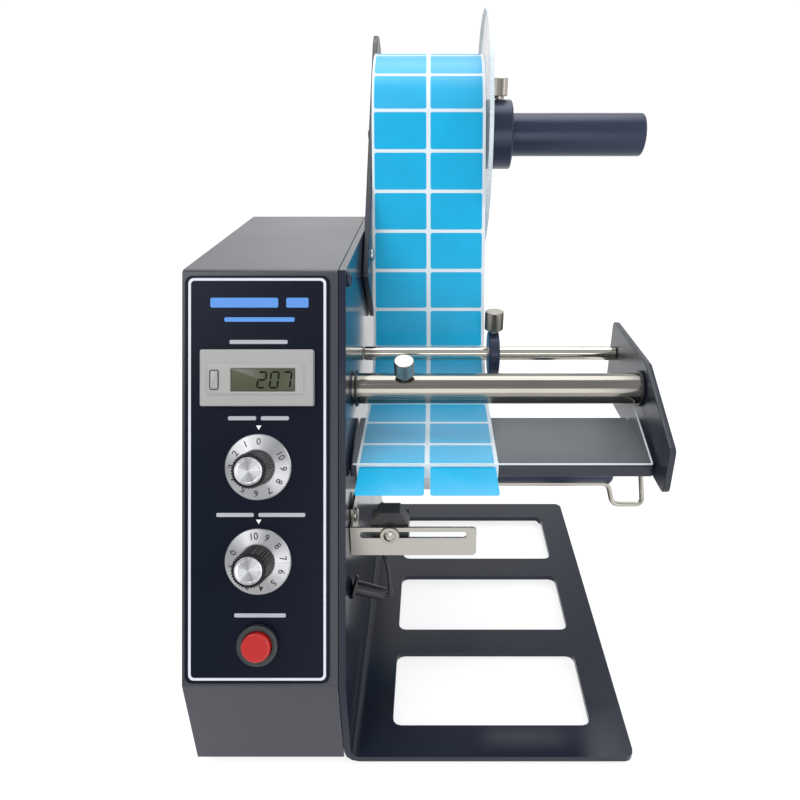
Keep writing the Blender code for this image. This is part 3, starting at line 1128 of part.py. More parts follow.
def electrics(middle):
    """Control board, transformer, mains inlet and fuse inside the housing."""
    floor = TRAY_TOP
    lift = floor + BOARD_LIFT
    board_top = lift + BOARD_THICKNESS
    left, right = middle - BOARD_WIDTH / 2, middle + BOARD_WIDTH / 2
    back = BOARD_FRONT + BOARD_LENGTH
    board = block("control_board", (left, BOARD_FRONT, lift), (right, back, board_top),
                  ((0.02, 0.20, 0.08), 0.5, 0.0))
    edge = CAPACITOR_RADIUS
    base = board_top - BOARD_THICKNESS / 2
    for x in (left + edge, right - edge):
        for y in (BOARD_FRONT + edge, back - edge):
            cut(board, rod("board_post", STANDOFF_RADIUS, floor + GAP, base, at=(x, y, 0), sides=SMALL_SIDES),
                "UNION")
    for number in range(BOARD_CAPACITORS):
        x = left + CAPACITOR_RADIUS * (2 + 3 * number)
        cut(board, rod("capacitor", CAPACITOR_RADIUS, base, base + CAPACITOR_HEIGHT,
                       at=(x, back - CAPACITOR_RADIUS * 4, 0), sides=SMALL_SIDES), "UNION")
    relay_y = (BOARD_FRONT + back) / 2
    cut(board, block("relay", (left + edge, relay_y, base), (left + edge + RELAY_SIZE, relay_y + RELAY_SIZE,
                                                             base + RELAY_SIZE)), "UNION")
    chip_y = BOARD_FRONT + RELAY_SIZE
    cut(board, block("chip", (middle, chip_y, base), (middle + RELAY_SIZE, chip_y + RELAY_SIZE,
                                                      base + CHIP_HEIGHT)), "UNION")

    half = TRANSFORMER_WIDTH / 2
    rear = TRANSFORMER_FRONT + TRANSFORMER_LENGTH
    core = block("transformer", (middle - half, TRANSFORMER_FRONT, floor + GAP),
                 (middle + half, rear, floor + GAP + TRANSFORMER_HEIGHT), STEEL)
    inset, out = TRANSFORMER_COIL_SINK, TRANSFORMER_COIL_OUT
    coil = block("transformer_coil", (middle - half - out, TRANSFORMER_FRONT + inset,
                                      floor + GAP + inset / 2),
                 (middle + half + out, rear - inset, floor + TRANSFORMER_HEIGHT - inset / 2))
    cut(core, coil, "UNION")

    outer = FRAME_DEPTH + GAP
    inlet_at = empty("inlet_centre", at=(middle, outer, INLET_Z), turn=(-math.pi / 2, math.pi, 0))
    flange = block("mains_inlet", (-INLET_FLANGE_WIDTH / 2, -INLET_FLANGE_HEIGHT / 2, 0),
                   (INLET_FLANGE_WIDTH / 2, INLET_FLANGE_HEIGHT / 2, INLET_FLANGE), BLACK_PLASTIC, inlet_at)
    cut(flange, block("inlet_body", (-INLET_WIDTH / 2, -INLET_HEIGHT / 2, -INLET_DEPTH),
                      (INLET_WIDTH / 2, INLET_HEIGHT / 2, INLET_FLANGE / 2), parent=inlet_at), "UNION")
    socket_floor = INLET_FLANGE - INLET_SOCKET_DEPTH
    cut(flange, block("inlet_socket_cut", (-INLET_SOCKET_WIDTH / 2, -INLET_SOCKET_HEIGHT / 2, socket_floor),
                      (INLET_SOCKET_WIDTH / 2, INLET_SOCKET_HEIGHT / 2, INLET_FLANGE + OVERRUN),
                      parent=inlet_at))
    for x, y in ((-PIN_PITCH, -PIN_RISE), (0, PIN_RISE), (PIN_PITCH, -PIN_RISE)):
        cut(flange, block("inlet_pin", (x - PIN_WIDTH / 2, y - PIN_HEIGHT / 2, socket_floor - GAP),
                          (x + PIN_WIDTH / 2, y + PIN_HEIGHT / 2, socket_floor + PIN_LENGTH),
                          parent=inlet_at),
            "UNION")


def feet():
    """Rubber feet under the base and, taller, under the housing."""
    number = 0
    for x, top in ((COVER_LEFT + FOOT_INSET, TRAY_BOTTOM), (BASE_RIGHT - FOOT_INSET, BASE_LIFT)):
        for y in (FOOT_INSET, FRAME_DEPTH - FOOT_INSET):
            number += 1
            turned("foot_%d" % number, [(0, top - GAP), (FOOT_RADIUS, top - GAP), (FOOT_RADIUS - GAP * 2, 0),
                                        (0, 0)], BLACK_PLASTIC, at=(x, y, 0), sides=SMALL_SIDES)


PANEL = empty("panel_slope", at=(COLUMN_X, 0, KICK_HEIGHT), turn=(math.pi / 2 - PANEL_LEAN, 0, 0))
side_frame()
rear_middle = housing()
overlay()
counter()
knob("length", LENGTH_UP)
knob("speed", SPEED_UP)
power_switch()
drive()
liner_clip()
platform_side()
press()
spool()
label_material()
label_sensor()
electrics(rear_middle)
feet()
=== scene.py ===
"""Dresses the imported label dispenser: smooth surfaces, finishes, stage and camera."""
import json
import math

import bmesh
import bpy
import numpy as np
from bpy.props import FloatProperty, FloatVectorProperty, IntProperty, PointerProperty, StringProperty
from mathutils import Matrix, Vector


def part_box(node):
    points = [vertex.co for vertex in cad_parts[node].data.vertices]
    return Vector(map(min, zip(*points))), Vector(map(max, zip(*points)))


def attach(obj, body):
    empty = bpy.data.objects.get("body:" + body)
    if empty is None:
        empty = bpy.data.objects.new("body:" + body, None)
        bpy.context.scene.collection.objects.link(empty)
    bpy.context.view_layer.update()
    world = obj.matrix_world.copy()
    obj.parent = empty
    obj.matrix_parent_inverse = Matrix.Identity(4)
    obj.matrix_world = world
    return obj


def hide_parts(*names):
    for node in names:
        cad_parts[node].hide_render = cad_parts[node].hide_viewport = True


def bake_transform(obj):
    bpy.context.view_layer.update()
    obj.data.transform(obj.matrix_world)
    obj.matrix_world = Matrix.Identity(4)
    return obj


bl_info = {"name": "Label dispenser", "version": (1, 0, 0), "blender": (4, 5, 0),
    "location": "3D View > Sidebar > Dispenser",
    "description": "Builds the finished surfaces of a desk label dispenser over its packed frame",
    "category": "Object", }

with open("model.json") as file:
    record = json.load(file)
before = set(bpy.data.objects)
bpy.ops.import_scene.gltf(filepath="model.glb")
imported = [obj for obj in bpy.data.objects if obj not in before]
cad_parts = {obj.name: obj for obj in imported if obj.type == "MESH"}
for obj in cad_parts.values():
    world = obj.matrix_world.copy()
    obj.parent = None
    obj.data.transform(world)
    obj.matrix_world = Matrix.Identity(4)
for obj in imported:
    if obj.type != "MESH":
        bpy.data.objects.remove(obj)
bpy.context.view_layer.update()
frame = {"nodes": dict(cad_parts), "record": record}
NODES = frame["nodes"]
MM = 0.001
ORIGIN = np.array([-0.0477, -0.1516, 0.0])   # the side plate's front foot corner in the row frame
BODY_OF = {node: body for body, nodes in frame["record"]["behaviour"]["bodies"].items() for node in nodes}
FINISHES = {}
X, Y, Z = np.eye(3)
LEAN = math.atan2(76.5, 161.0)
UP_SLOPE = np.array([0.0, math.sin(LEAN), math.cos(LEAN)])
OUT = np.array([0.0, -math.cos(LEAN), math.sin(LEAN)])
COLUMN = -37.1
SPOOL = (235.2, 255.2)        # centres of round pieces, as y and z in millimetres
TAKE_UP = (100.0, 100.7)
PRESS_BAR = (83.5, 153)
GUIDE_ROD = (131, 152)
GLAND = (34, 76)
WEB_LEFT, WEB_RIGHT = 3.5, 66.4
ROLL_RADIUS, WOUND_RADIUS = 44.5, 13
WEB_HEIGHT, NOSE_Y, NOSE_RADIUS, WEB_CLEARANCE = 131.45, 50.0, 1.45, 0.6
COUNTER_UP, LENGTH_UP, SPEED_UP, POWER_UP = 132, 94, 53.8, 18.5   # centres on the panel, up its slope
PLATE_TILT, ARM_TILT, CLIP_TURN = math.radians(17.2415), math.radians(43.7), math.radians(237)
CAMERA, CAMERA_DOWN = (37.8, -204, 285.4), math.radians(25.3)


def at(x, y, z):
    """A point given in millimetres from the side plate's front foot corner, in the row frame."""
    return np.array([x, y, z], float) * MM + ORIGIN


# ---------------------------------------------------------------- surfaces

class Place:
    """Where a piece lies: an origin and three axes, right handed, with local sizes in millimetres."""

    def __init__(self, origin, across, along, up):
        self.origin = np.asarray(origin, float)
        self.axes = np.array([across, along, up], float)

    def points(self, local):
        """Row frame points: origin plus each local coordinate times its axis."""
        return self.origin + (np.asarray(local, float) * MM) @ self.axes


def on_x(y, z, x=0.0):
    """A place whose third axis runs along X through the point x, y, z."""
    return Place(at(x, y, z), Y, Z, X)


def on_panel(up):
    """A place on the control panel: first axis to the right, second up the slope, third outwards."""
    return Place(at(COLUMN, 0, 51) + UP_SLOPE * up * MM, X, UP_SLOPE, OUT)


def unit(vectors):
    """Vectors divided by their own length."""
    return vectors / np.maximum(np.linalg.norm(vectors, axis=-1, keepdims=True), 1e-12)


def eased(points, radius, closed=False, steps=4):
    """A polyline whose corners become quadratic arcs, each starting radius before its corner."""
    points = np.asarray(points, float)
    before, after = np.roll(points, 1, 0), np.roll(points, -1, 0)
    radius = np.broadcast_to(np.asarray(radius, float), len(points))
    back, on = np.linalg.norm(before - points, axis=1), np.linalg.norm(after - points, axis=1)
    reach = np.minimum(radius, np.minimum(back, on) * 0.49)[:, None]
    start = points + unit(before - points) * reach
    end = points + unit(after - points) * reach
    t = np.linspace(0, 1, steps + 1)[None, :, None]
    arcs = (1 - t) ** 2 * start[:, None] + 2 * t * (1 - t) * points[:, None] + t ** 2 * end[:, None]
    if closed:
        return arcs.reshape(-1, points.shape[1])
    return np.vstack([points[:1], arcs[1:-1].reshape(-1, points.shape[1]), points[-1:]])


def box_outline(width, height, radius, x=0.0, y=0.0, steps=6):
    """A rounded rectangle, counter-clockwise: its four corners eased by radius."""
    w, h = width / 2, height / 2
    return eased([(x - w, y - h), (x + w, y - h), (x + w, y + h), (x - w, y + h)], radius, True, steps)


def inset(outline, amount):
    """An outline moved inwards: each point shifts along the sum of its two edges' normals."""
    edge = unit(np.roll(outline, -1, 0) - outline)
    normal = np.stack([-edge[:, 1], edge[:, 0]], 1)
    both = normal + np.roll(normal, 1, 0)
    return outline + both / np.maximum((both ** 2).sum(1, keepdims=True) / 2, 0.2) * amount


def grid(points, close_rows=False, close_columns=True):
    """Vertices and quads of a rows by columns grid, with either side joined to its start."""
    rows, columns = points.shape[:2]
    index = np.arange(rows * columns).reshape(rows, columns)
    if close_rows:
        index = np.vstack([index, index[:1]])
    if close_columns:
        index = np.hstack([index, index[:, :1]])
    faces = np.stack([index[:-1, :-1], index[:-1, 1:], index[1:, 1:], index[1:, :-1]], -1)
    return points.reshape(-1, 3), faces.reshape(-1, 4).tolist()


def held(profile, gap=0.2):
    """A profile with one more point close to each end of every long run, so that its shading stays even."""
    profile = np.asarray(profile, float)
    rows = [profile[:1]]
    for first, second in zip(profile[:-1], profile[1:]):
        share = gap / max(np.hypot(*(second - first)), 1e-9)
        if share < 0.1:
            rows.append(first + (second - first) * np.array([[share], [1 - share]]))
        rows.append(second[None])
    return np.vstack(rows)


def closed(profile):
    """A profile that ends where it starts."""
    return np.vstack([profile, profile[:1]])


def turned(place, profile, sides=96, ripple=None):
    """A surface of revolution: radius and height along the profile, times an angle round the axis.
    ripple gives what is added to the radius at each angle and height."""
    profile = held(profile)
    angle = np.linspace(0, math.tau, sides, endpoint=False)[None]
    radius, height = profile[:, :1], profile[:, 1:2]
    wide = radius + (ripple(angle, height, radius) if ripple else 0 * angle)
    local = np.stack([wide * np.cos(angle), wide * np.sin(angle), height + 0 * angle], -1)
    return grid(place.points(local))


def loft(place, rows, cap=(True, True)):
    """Outlines of equal count at given heights, joined row by row and closed by a face at each end."""
    local = np.array([np.column_stack([outline, np.full(len(outline), height)]) for outline, height in rows])
    points, faces = grid(place.points(local))
    count = local.shape[1]
    if cap[0]:
        faces.append(list(range(count))[::-1])
    if cap[1]:
        faces.append([len(points) - count + number for number in range(count)])
    return points, faces


def slab(place, outline, low, high, ease=0.3):
    """A plate with a quarter round edge at its top: the outline moves in by 1 - sin as it rises by cos."""
    quarter = np.linspace(0, math.pi / 2, 4)
    rows = [(inset(outline, ease * 0.7), low), (outline, low + ease * 0.7)]
    rows += [(inset(outline, ease * (1 - math.cos(a))), high - ease * (1 - math.sin(a))) for a in quarter]
    return loft(place, rows)


def tube(path, radius, sides=20, guide=Z):
    """A round wire: a circle carried along a path in row frame metres, with closed ends."""
    path = np.asarray(path, float)
    along = unit(np.gradient(path, axis=0))
    side = unit(guide - (along @ guide)[:, None] * along)
    other = np.cross(along, side)
    angle = np.linspace(0, math.tau, sides, endpoint=False)
    ring = np.cos(angle)[None, :, None] * side[:, None] + np.sin(angle)[None, :, None] * other[:, None]
    radius = np.broadcast_to(np.asarray(radius, float), len(path))[:, None, None] * MM
    rows = path[:, None] + ring * radius
    first, last = np.repeat(path[:1, None], sides, 1), np.repeat(path[-1:, None], sides, 1)
    return grid(np.vstack([first, rows, last]))


def flowing(points, count):
    """A smooth line through points: a cubic between each pair, its slopes taken from the neighbours."""
    points = np.asarray(points, float)
    slope = np.gradient(points, axis=0)
    t = np.linspace(0, len(points) - 1, count)
    low = np.minimum(t.astype(int), len(points) - 2)
    f = (t - low)[:, None]
    a, b, da, db = points[low], points[low + 1], slope[low], slope[low + 1]
    return ((2 * f ** 3 - 3 * f ** 2 + 1) * a + (f ** 3 - 2 * f ** 2 + f) * da + (3 * f ** 2 - 2 * f ** 3) * b
        + (f ** 3 - f ** 2) * db)


def joined(*shapes):
    """Several shapes as one list of vertices and faces."""
    points, faces, count = [], [], 0
    for more, quads in shapes:
        points.append(np.asarray(more))
        faces += [[number + count for number in face] for face in quads]
        count += len(more)
    return np.vstack(points), faces


def weighted_normals(mesh):
    """One normal per vertex: its faces' normals summed by their areas, so that large flats stay flat."""
    total = np.zeros((len(mesh.vertices), 3))
    for face in mesh.polygons:
        total[list(face.vertices)] += np.array(face.normal) * face.area
    return unit(total).tolist()


def piece(name, shape, finish, node, replace=True, uv=None, angle=35, ease=0.0, lead=None):
    """A mesh object in the row frame that rides on the body of a CAD node, or on a body given by name.
    It stands for the node unless replace is off. ease rounds its sharp edges in millimetres. When lead is
    given, the piece keeps its place in the row frame with its transform baked and rides on no body; the
    second body and the two points in lead are not used."""
    points, faces = shape
    mesh = bpy.data.meshes.new(name)
    mesh.from_pydata(np.asarray(points).tolist(), [], faces)
    if uv is not None:
        corners = np.empty(len(mesh.loops), int)
        mesh.loops.foreach_get("vertex_index", corners)
        mesh.uv_layers.new(name="UVMap").data.foreach_set("uv", np.asarray(uv, float)[corners].ravel())
    work = bmesh.new()
    work.from_mesh(mesh)
    bmesh.ops.remove_doubles(work, verts=work.verts, dist=2e-6)
    bmesh.ops.dissolve_degenerate(work, edges=work.edges, dist=1e-7)
    bmesh.ops.recalc_face_normals(work, faces=work.faces)
    if ease:
        bmesh.ops.dissolve_limit(work, angle_limit=0.002, verts=work.verts, edges=work.edges)
        sharp = [edge for edge in work.edges if edge.calc_face_angle(0) > 0.6]
        bmesh.ops.bevel(work, geom=sharp, offset=ease * MM, offset_type="OFFSET", segments=2, profile=0.5,
            affect="EDGES", clamp_overlap=True)
    work.to_mesh(mesh)
    work.free()
    mesh.shade_smooth()
    mesh.set_sharp_from_angle(angle=math.radians(75 if ease else angle))
    if ease:
        mesh.normals_split_custom_set_from_vertices(weighted_normals(mesh))
    thing = bpy.data.objects.new(name, mesh)
    bpy.context.scene.collection.objects.link(thing)
    mesh.materials.append(FINISHES[finish]())
    body = BODY_OF.get(node, node)
    if lead:
        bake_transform(thing)
    else:
        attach(thing, body)
    if replace:
        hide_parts(node)
    return thing


def smoothed(node, finish, angle=40, ease=0.0):
    """A CAD node copied, its doubles merged, its sharp edges eased and its bends shaded smooth."""
    mesh = NODES[node].data
    points = np.empty(len(mesh.vertices) * 3)
    mesh.vertices.foreach_get("co", points)
    faces = [list(face.vertices) for face in mesh.polygons]
    return piece(node + "_surface", (points.reshape(-1, 3), faces), finish, node, angle=angle, ease=ease)


def dress(finish, *nodes):
    """Gives CAD nodes that stay in view their finish."""
    for node in nodes:
        mesh = NODES[node].data
        mesh.materials.clear()
        mesh.materials.append(FINISHES[finish]())


def span(node):
    """Where a CAD node starts and ends along X, in millimetres from the side plate."""
    low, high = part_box(node)
    return (low[0] - ORIGIN[0]) / MM, (high[0] - ORIGIN[0]) / MM


# ---------------------------------------------------------------- finishes

class Val:
    """A shader value that takes part in Python sums; each operator adds its Math node."""

    def __init__(self, paint, socket):
        self.paint, self.socket = paint, socket

    def maths(self, kind, first, second=0.0, third=0.0):
        return self.paint.node("Math", {"operation": kind}, {0: first, 1: second, 2: third})

    def __add__(self, other):
        return self.maths("ADD", self, other)

    def __sub__(self, other):
        return self.maths("SUBTRACT", self, other)

    def __rsub__(self, other):
        return self.maths("SUBTRACT", other, self)

    def __mul__(self, other):
        return self.maths("MULTIPLY", self, other)

    def __truediv__(self, other):
        return self.maths("DIVIDE", self, other)

    __radd__, __rmul__ = __add__, __mul__

    def __abs__(self):
        return self.maths("ABSOLUTE", self)

    def most(self, other):
        return self.maths("MAXIMUM", self, other)

    def fraction(self):
        return self.maths("FRACT", self)

    def root(self):
        return self.maths("SQRT", self)

    def sine(self):
        return self.maths("SINE", self)

    def step(self, low, high):
        """0 below low, 1 above high and a smooth rise between."""
        return self.paint.node("MapRange", {"interpolation_type": "SMOOTHSTEP"}, {0: self, 1: low, 2: high})


class Paint:
    """A material under construction."""

    def __init__(self, name):
        self.material = bpy.data.materials.new(name)
        self.material.use_nodes = True
        self.tree = self.material.node_tree
        self.shader = self.tree.nodes["Principled BSDF"]

    def node(self, kind, settings=None, values=None, out=0):
        """Adds one node: its settings first, then the values or links of its sockets."""
        made = self.tree.nodes.new("ShaderNode" + kind)
        for key, value in (settings or {}).items():
            setattr(made, key, value)
        for key, value in (values or {}).items():
            self.feed(made.inputs[key], value)
        return Val(self, made.outputs[out])

    def feed(self, socket, value):
        if isinstance(value, Val):
            self.tree.links.new(value.socket, socket)
        else:
            socket.default_value = value

    def spot(self):
        """The point on the object in metres."""
        return self.node("TexCoord", out="Object")

    def parts(self, vector):
        """The three numbers of a vector."""
        made = self.tree.nodes.new("ShaderNodeSeparateXYZ")
        self.feed(made.inputs[0], vector)
        return [Val(self, made.outputs[number]) for number in range(3)]

    def noise(self, scale, detail=2.0, stretch=(1, 1, 1), vector=None):
        """Smooth noise from 0 to 1; stretch scales each axis first."""
        where = self.node("Mapping", None, {"Vector": vector or self.spot(), "Scale": stretch})
        return self.node("TexNoise", None, {"Vector": where, "Scale": scale, "Detail": detail})

    def maths_angle(self, rise, run):
        """The angle whose tangent is rise over run."""
        return self.node("Math", {"operation": "ARCTAN2"}, {0: rise, 1: run})

    def blend(self, share, first, second):
        """A mix of two colours."""
        return self.node("Mix", {"data_type": "RGBA"}, {0: share, 6: first, 7: second}, out=2)

    def shape(self, height, distance, strength=1.0):
        """A bump from a height of 0 to 1 that stands for the distance in metres."""
        return self.node("Bump", None, {"Height": height, "Distance": distance, "Strength": strength})

    def set(self, **values):
        for key, value in values.items():
            self.feed(self.shader.inputs[key.replace("_", " ")], value)
        return self.material


def tone(colour, share):
    """A colour made lighter or darker by a share, with its alpha."""
    return (*(min(1.0, part * share) for part in colour), 1.0)


def finish(name):
    """Registers a finish; its material is made once, when a piece first asks for it."""
    def take(function):
        made = {}

        def give():
            if name not in made:
                made[name] = function(Paint(name))
            return made[name]
        FINISHES[name] = give
        return give
    return take


def plain(name, colour, rough, metal=0.0, grain=900.0, depth=0.00002, spread=0.12, stretch=(1, 1, 1), **more):
    """A finish with fine grain: colour and roughness vary a little, and the grain is also a bump."""
    @finish(name)
    def make(paint):
        grit = paint.noise(grain, 3.0, stretch)
        cloud = paint.noise(22.0, 3.0)
        mixed = paint.blend(cloud * 0.6 + grit * 0.4, tone(colour, 1 - spread), tone(colour, 1 + spread))
        return paint.set(Base_Color=mixed, Roughness=(cloud - 0.5) * 0.12 + (grit - 0.5) * 0.08 + rough,
            Metallic=metal, Normal=paint.shape(grit, depth, 0.5), **more)
    return make


def box_mask(x, y, cx, cy, width, height, radius, soft=0.00008):
    """1 inside a rounded rectangle: the distance to it is the length of what lies past its inner box."""
    dx = (abs(x - cx) - (width / 2 - radius)).most(0.0)
    dy = (abs(y - cy) - (height / 2 - radius)).most(0.0)
    return 1 - ((dx * dx + dy * dy).root() - radius).step(-soft, soft)


def label_mask(across, along, pitch, phase):
    """1 on the printed labels: two columns, with rows that repeat every pitch."""
    look = bpy.context.scene.dispenser_look
    row = ((along - phase) / pitch).fraction() * pitch
    width, length = look.label_width * MM, look.label_length * MM
    left = box_mask(across, row, 0.0192, pitch / 2, width, length, 0.0012)
    right = box_mask(across, row, 0.05025, pitch / 2, width, length, 0.0012)
    return left + right


def label_inks(paint):
    """The labels' blue, the liner's white and the paper fibre that both show."""
    colour = bpy.context.scene.dispenser_look.label_colour
    cloud = paint.noise(60.0, 2.0)
    fibre = paint.noise(1500.0, 2.0)
    blue = paint.blend(cloud, tone(colour, 0.9), tone(colour, 1.1))
    return blue, paint.blend(fibre, (0.62, 0.70, 0.74, 1), (0.72, 0.79, 0.83, 1)), fibre


def label_finish(paint, mask):
    """Blue labels where mask is 1 and white liner elsewhere."""
    blue, liner, fibre = label_inks(paint)
    return paint.set(Base_Color=paint.blend(mask, liner, blue), Roughness=0.42 - mask * 0.12
        + (fibre - 0.5) * 0.06, Specular_IOR_Level=0.22, Normal=paint.shape(mask * 0.8 + fibre * 0.2, 0.00008,
        0.6))


plain("black_powder_coat", (0.012, 0.016, 0.026), 0.32, grain=1300, depth=0.00003)
plain("side_gloss", (0.011, 0.015, 0.028), 0.17, grain=1300, depth=0.000006, spread=0.1,
    Specular_IOR_Level=0.3)
plain("grey_powder_coat", (0.024, 0.025, 0.036), 0.34, grain=1600, depth=0.00003, Specular_IOR_Level=0.4,
    Coat_Weight=0.3, Coat_Roughness=0.3)
plain("black_anodised", (0.028, 0.036, 0.066), 0.30, metal=0.35, grain=700, stretch=(0.1, 1, 1),
    depth=0.000008, Specular_IOR_Level=0.35)
plain("pale_plastic", (0.315, 0.31, 0.30), 0.38, grain=2200, spread=0.04)
plain("black_plastic", (0.012, 0.012, 0.014), 0.36, grain=2000, depth=0.00003, spread=0.2)
plain("glossy_black", (0.005, 0.005, 0.006), 0.22, grain=2000, depth=0.00001, spread=0.2,
    Specular_IOR_Level=0.35)
plain("dark_grey_plastic", (0.022, 0.023, 0.026), 0.34, grain=2000, depth=0.00002, spread=0.15)
plain("zinc_steel", (0.56, 0.55, 0.52), 0.30, metal=1.0, grain=800)
plain("chrome", (0.56, 0.54, 0.48), 0.12, metal=1.0, grain=1800, stretch=(0.008, 1, 1), depth=0.00001,
    spread=0.2)
# Press bar's chrome: a darker base and stronger streaks than the guide rod's, painted shade standing for the
# darker reflections the bar shows; the streaks are partly turning marks.
plain("chrome_painted_dark", (0.27, 0.255, 0.23), 0.14, metal=1.0, grain=1800, stretch=(0.008, 1, 1), depth=0.00001,
    spread=0.3)
plain("nickel", (0.44, 0.41, 0.36), 0.30, metal=1.0, grain=1500, spread=0.12)
plain("stainless", (0.46, 0.44, 0.40), 0.30, metal=1.0, grain=420, stretch=(0.15, 1, 6), depth=0.000012)
plain("liner_paper", (0.74, 0.74, 0.75), 0.55, grain=1800, spread=0.05)
plain("core_board", (0.42, 0.30, 0.19), 0.7, grain=600, stretch=(0.3, 1, 1), spread=0.2)
plain("gear_plastic", (0.72, 0.70, 0.62), 0.42, grain=1500, spread=0.05)
plain("brass", (0.72, 0.52, 0.22), 0.26, metal=1.0, grain=900)
plain("rubber", (0.018, 0.018, 0.018), 0.65, grain=1100, depth=0.00005, spread=0.25)
plain("printed_black", (0.02, 0.02, 0.022), 0.5, grain=1500, spread=0.1, Specular_IOR_Level=0.15)
plain("segment_black", (0.006, 0.007, 0.004), 0.6, grain=1500, spread=0.1, Specular_IOR_Level=0.04)


def spun_metal(name, dark, light):
    """Spun aluminium with a painted sheen: U is the angle in turns and V the radius in metres, and the base
    colour takes bright and dark wedges by angle that stand for the turned metal's highlight.
    """
    @finish(name)
    def make(paint):
        turn, radius, _ = paint.parts(paint.node("UVMap"))
        # Painted sheen: wide and fine are bright and dark wedges and rays by angle in the base colour,
        # standing for the highlight of turned metal; rings and grit are real lathe marks and grain.
        wide = (turn * (2 * math.tau) + 1.1).sine() * 0.5 + 0.5
        fine = ((turn * (7 * math.tau)).sine() + (turn * (13 * math.tau) + 0.7).sine()) * 0.25 + 0.5
        rings = (radius * 9000).sine() * 0.5 + 0.5
        grit = paint.noise(1400.0, 2.0)
        sheen = paint.blend(wide * 0.62 + fine * 0.2 + rings * 0.08 + grit * 0.1,
            (dark, dark, dark * 1.02, 1), (light, light, light * 1.02, 1))
        return paint.set(Base_Color=sheen, Metallic=1.0, Roughness=rings * 0.08 + 0.30,
            Normal=paint.shape(rings, 0.000004, 0.3))


# Darkest and brightest tones of each dial's painted sheen.
spun_metal("spun_skirt", 0.26, 0.48)
spun_metal("spun_cap", 0.22, 0.90)


@finish("panel_film")
def panel_film(paint):
    """Printed film: a pale border line, plain bars for titles and a small mark over each dial."""
    look = bpy.context.scene.dispenser_look
    x, y, z = paint.parts(paint.spot())
    across = (x - float(ORIGIN[0])) * 1000
    up = ((y - float(ORIGIN[1])) * float(UP_SLOPE[1]) + (z - 0.051) * float(UP_SLOPE[2])) * 1000

    def bar(cx, cy, width, height, radius):
        return box_mask(across, up, cx, cy, width, height, radius, 0.06)
    border = bar(-37.75, 88.75, 58.9, 171.9, 2.4) - bar(-37.75, 88.75, 56.7, 169.7, 1.6)
    title = bar(-43.3, 164.2, 29, 4.2, 0.7) + bar(-20.6, 164.2, 9.5, 4.2, 0.7)
    title = title + bar(-36.8, 157.0, 30, 1.9, 0.6)
    words = ((-37.2, 147.4, 24.8), (-44.2, 114.8, 12.0), (-30.2, 114.8, 12.0), (-47.2, 73.5, 16.0),
        (-27.2, 73.5, 20.0), (-36.5, 30.6, 22.0))
    captions = sum(bar(x, y, width, 1.7, 0.6) for x, y, width in words)

    def mark(cx, tip):
        inside = (up - tip) * 0.6 - abs(across - cx)
        return inside.step(-0.05, 0.05) * (tip + 1.9 - up).step(-0.05, 0.05)
    marks = mark(-37.1, 109.8) + mark(-37.1, 69.6)
    speck = paint.noise(1400.0, 2.0)
    film = paint.blend(speck, tone(look.film_colour, 0.85), tone(look.film_colour, 1.2))
    inked = paint.blend(border, film, (0.62, 0.62, 0.68, 1))
    inked = paint.blend(title, inked, (0.10, 0.26, 0.62, 1))
    inked = paint.blend(captions, inked, (0.42, 0.42, 0.46, 1))
    inked = paint.blend(marks, inked, (0.9, 0.9, 0.92, 1))
    return paint.set(Base_Color=inked, Roughness=(speck - 0.5) * 0.08 + 0.30, Specular_IOR_Level=0.12,
        Normal=paint.shape(speck, 0.00002, 0.5))


@finish("display")
def display(paint):
    """Olive liquid crystal window under a thin clear front."""
    cloud = paint.noise(160.0, 2.0)
    green = paint.blend(cloud, (0.044, 0.052, 0.024, 1), (0.062, 0.070, 0.034, 1))
    return paint.set(Base_Color=green, Roughness=cloud * 0.06 + 0.2, Coat_Weight=0.1)


@finish("red_lens")
def red_lens(paint):
    """Translucent red button with a faint painted glow of its own red, even over its whole face."""
    cloud = paint.noise(120.0, 2.0)
    red = paint.blend(cloud, (0.36, 0.006, 0.004, 1), (0.44, 0.010, 0.007, 1))
    # Painted glow: a faint emission in the button's red.
    return paint.set(Base_Color=red, Roughness=cloud * 0.08 + 0.22, Emission_Color=red,
        Emission_Strength=0.06)


@finish("clear_acrylic")
def clear_acrylic(paint):
    """Clear sheet with faint handling marks."""
    haze = paint.noise(38.0, 4.0)
    marks = paint.noise(900.0, 3.0, (1, 0.06, 1))
    return paint.set(Base_Color=paint.blend(haze, (0.80, 0.88, 0.92, 1), (0.95, 0.98, 1.0, 1)),
        Roughness=marks * 0.04 + 0.03, Alpha=haze * 0.04 + 0.035, Specular_IOR_Level=0.25,
        Normal=paint.shape(marks, 0.000004, 0.3))


@finish("clear_disc")
def clear_disc(paint):
    """The flange's thick clear sheet, a little grey where one looks through its depth."""
    haze = paint.noise(30.0, 3.0)
    return paint.set(Base_Color=paint.blend(haze, (0.25, 0.28, 0.30, 1), (0.32, 0.35, 0.37, 1)),
        Roughness=haze * 0.04 + 0.05, Alpha=haze * 0.06 + 0.30, Specular_IOR_Level=0.15,
        Normal=paint.shape(haze, 0.000004, 0.3))


@finish("acrylic_edge")
def acrylic_edge(paint):
    """Painted highlight of the clear sheet's cut edge: a pale colour for the light the edge gathers, over its
    saw marks.
    """
    saw = paint.noise(700.0, 3.0, (0.2, 1, 1))
    return paint.set(Base_Color=paint.blend(saw, (0.62, 0.72, 0.76, 1), (0.82, 0.88, 0.90, 1)),
        Roughness=saw * 0.15 + 0.15, Alpha=saw * 0.2 + 0.6, Coat_Weight=0.3)


@finish("running_labels")
def running_labels(paint):
    """The web: labels up to the peeling edge, bare liner after it; U runs along the web, V across."""
    look = bpy.context.scene.dispenser_look
    along, across, _ = paint.parts(paint.node("UVMap"))
    pitch = look.label_pitch * MM
    mask = label_mask(across, along, pitch, ROW * MM) * (PEEL * MM - along).step(-0.0001, 0.0001)
    return label_finish(paint, mask)


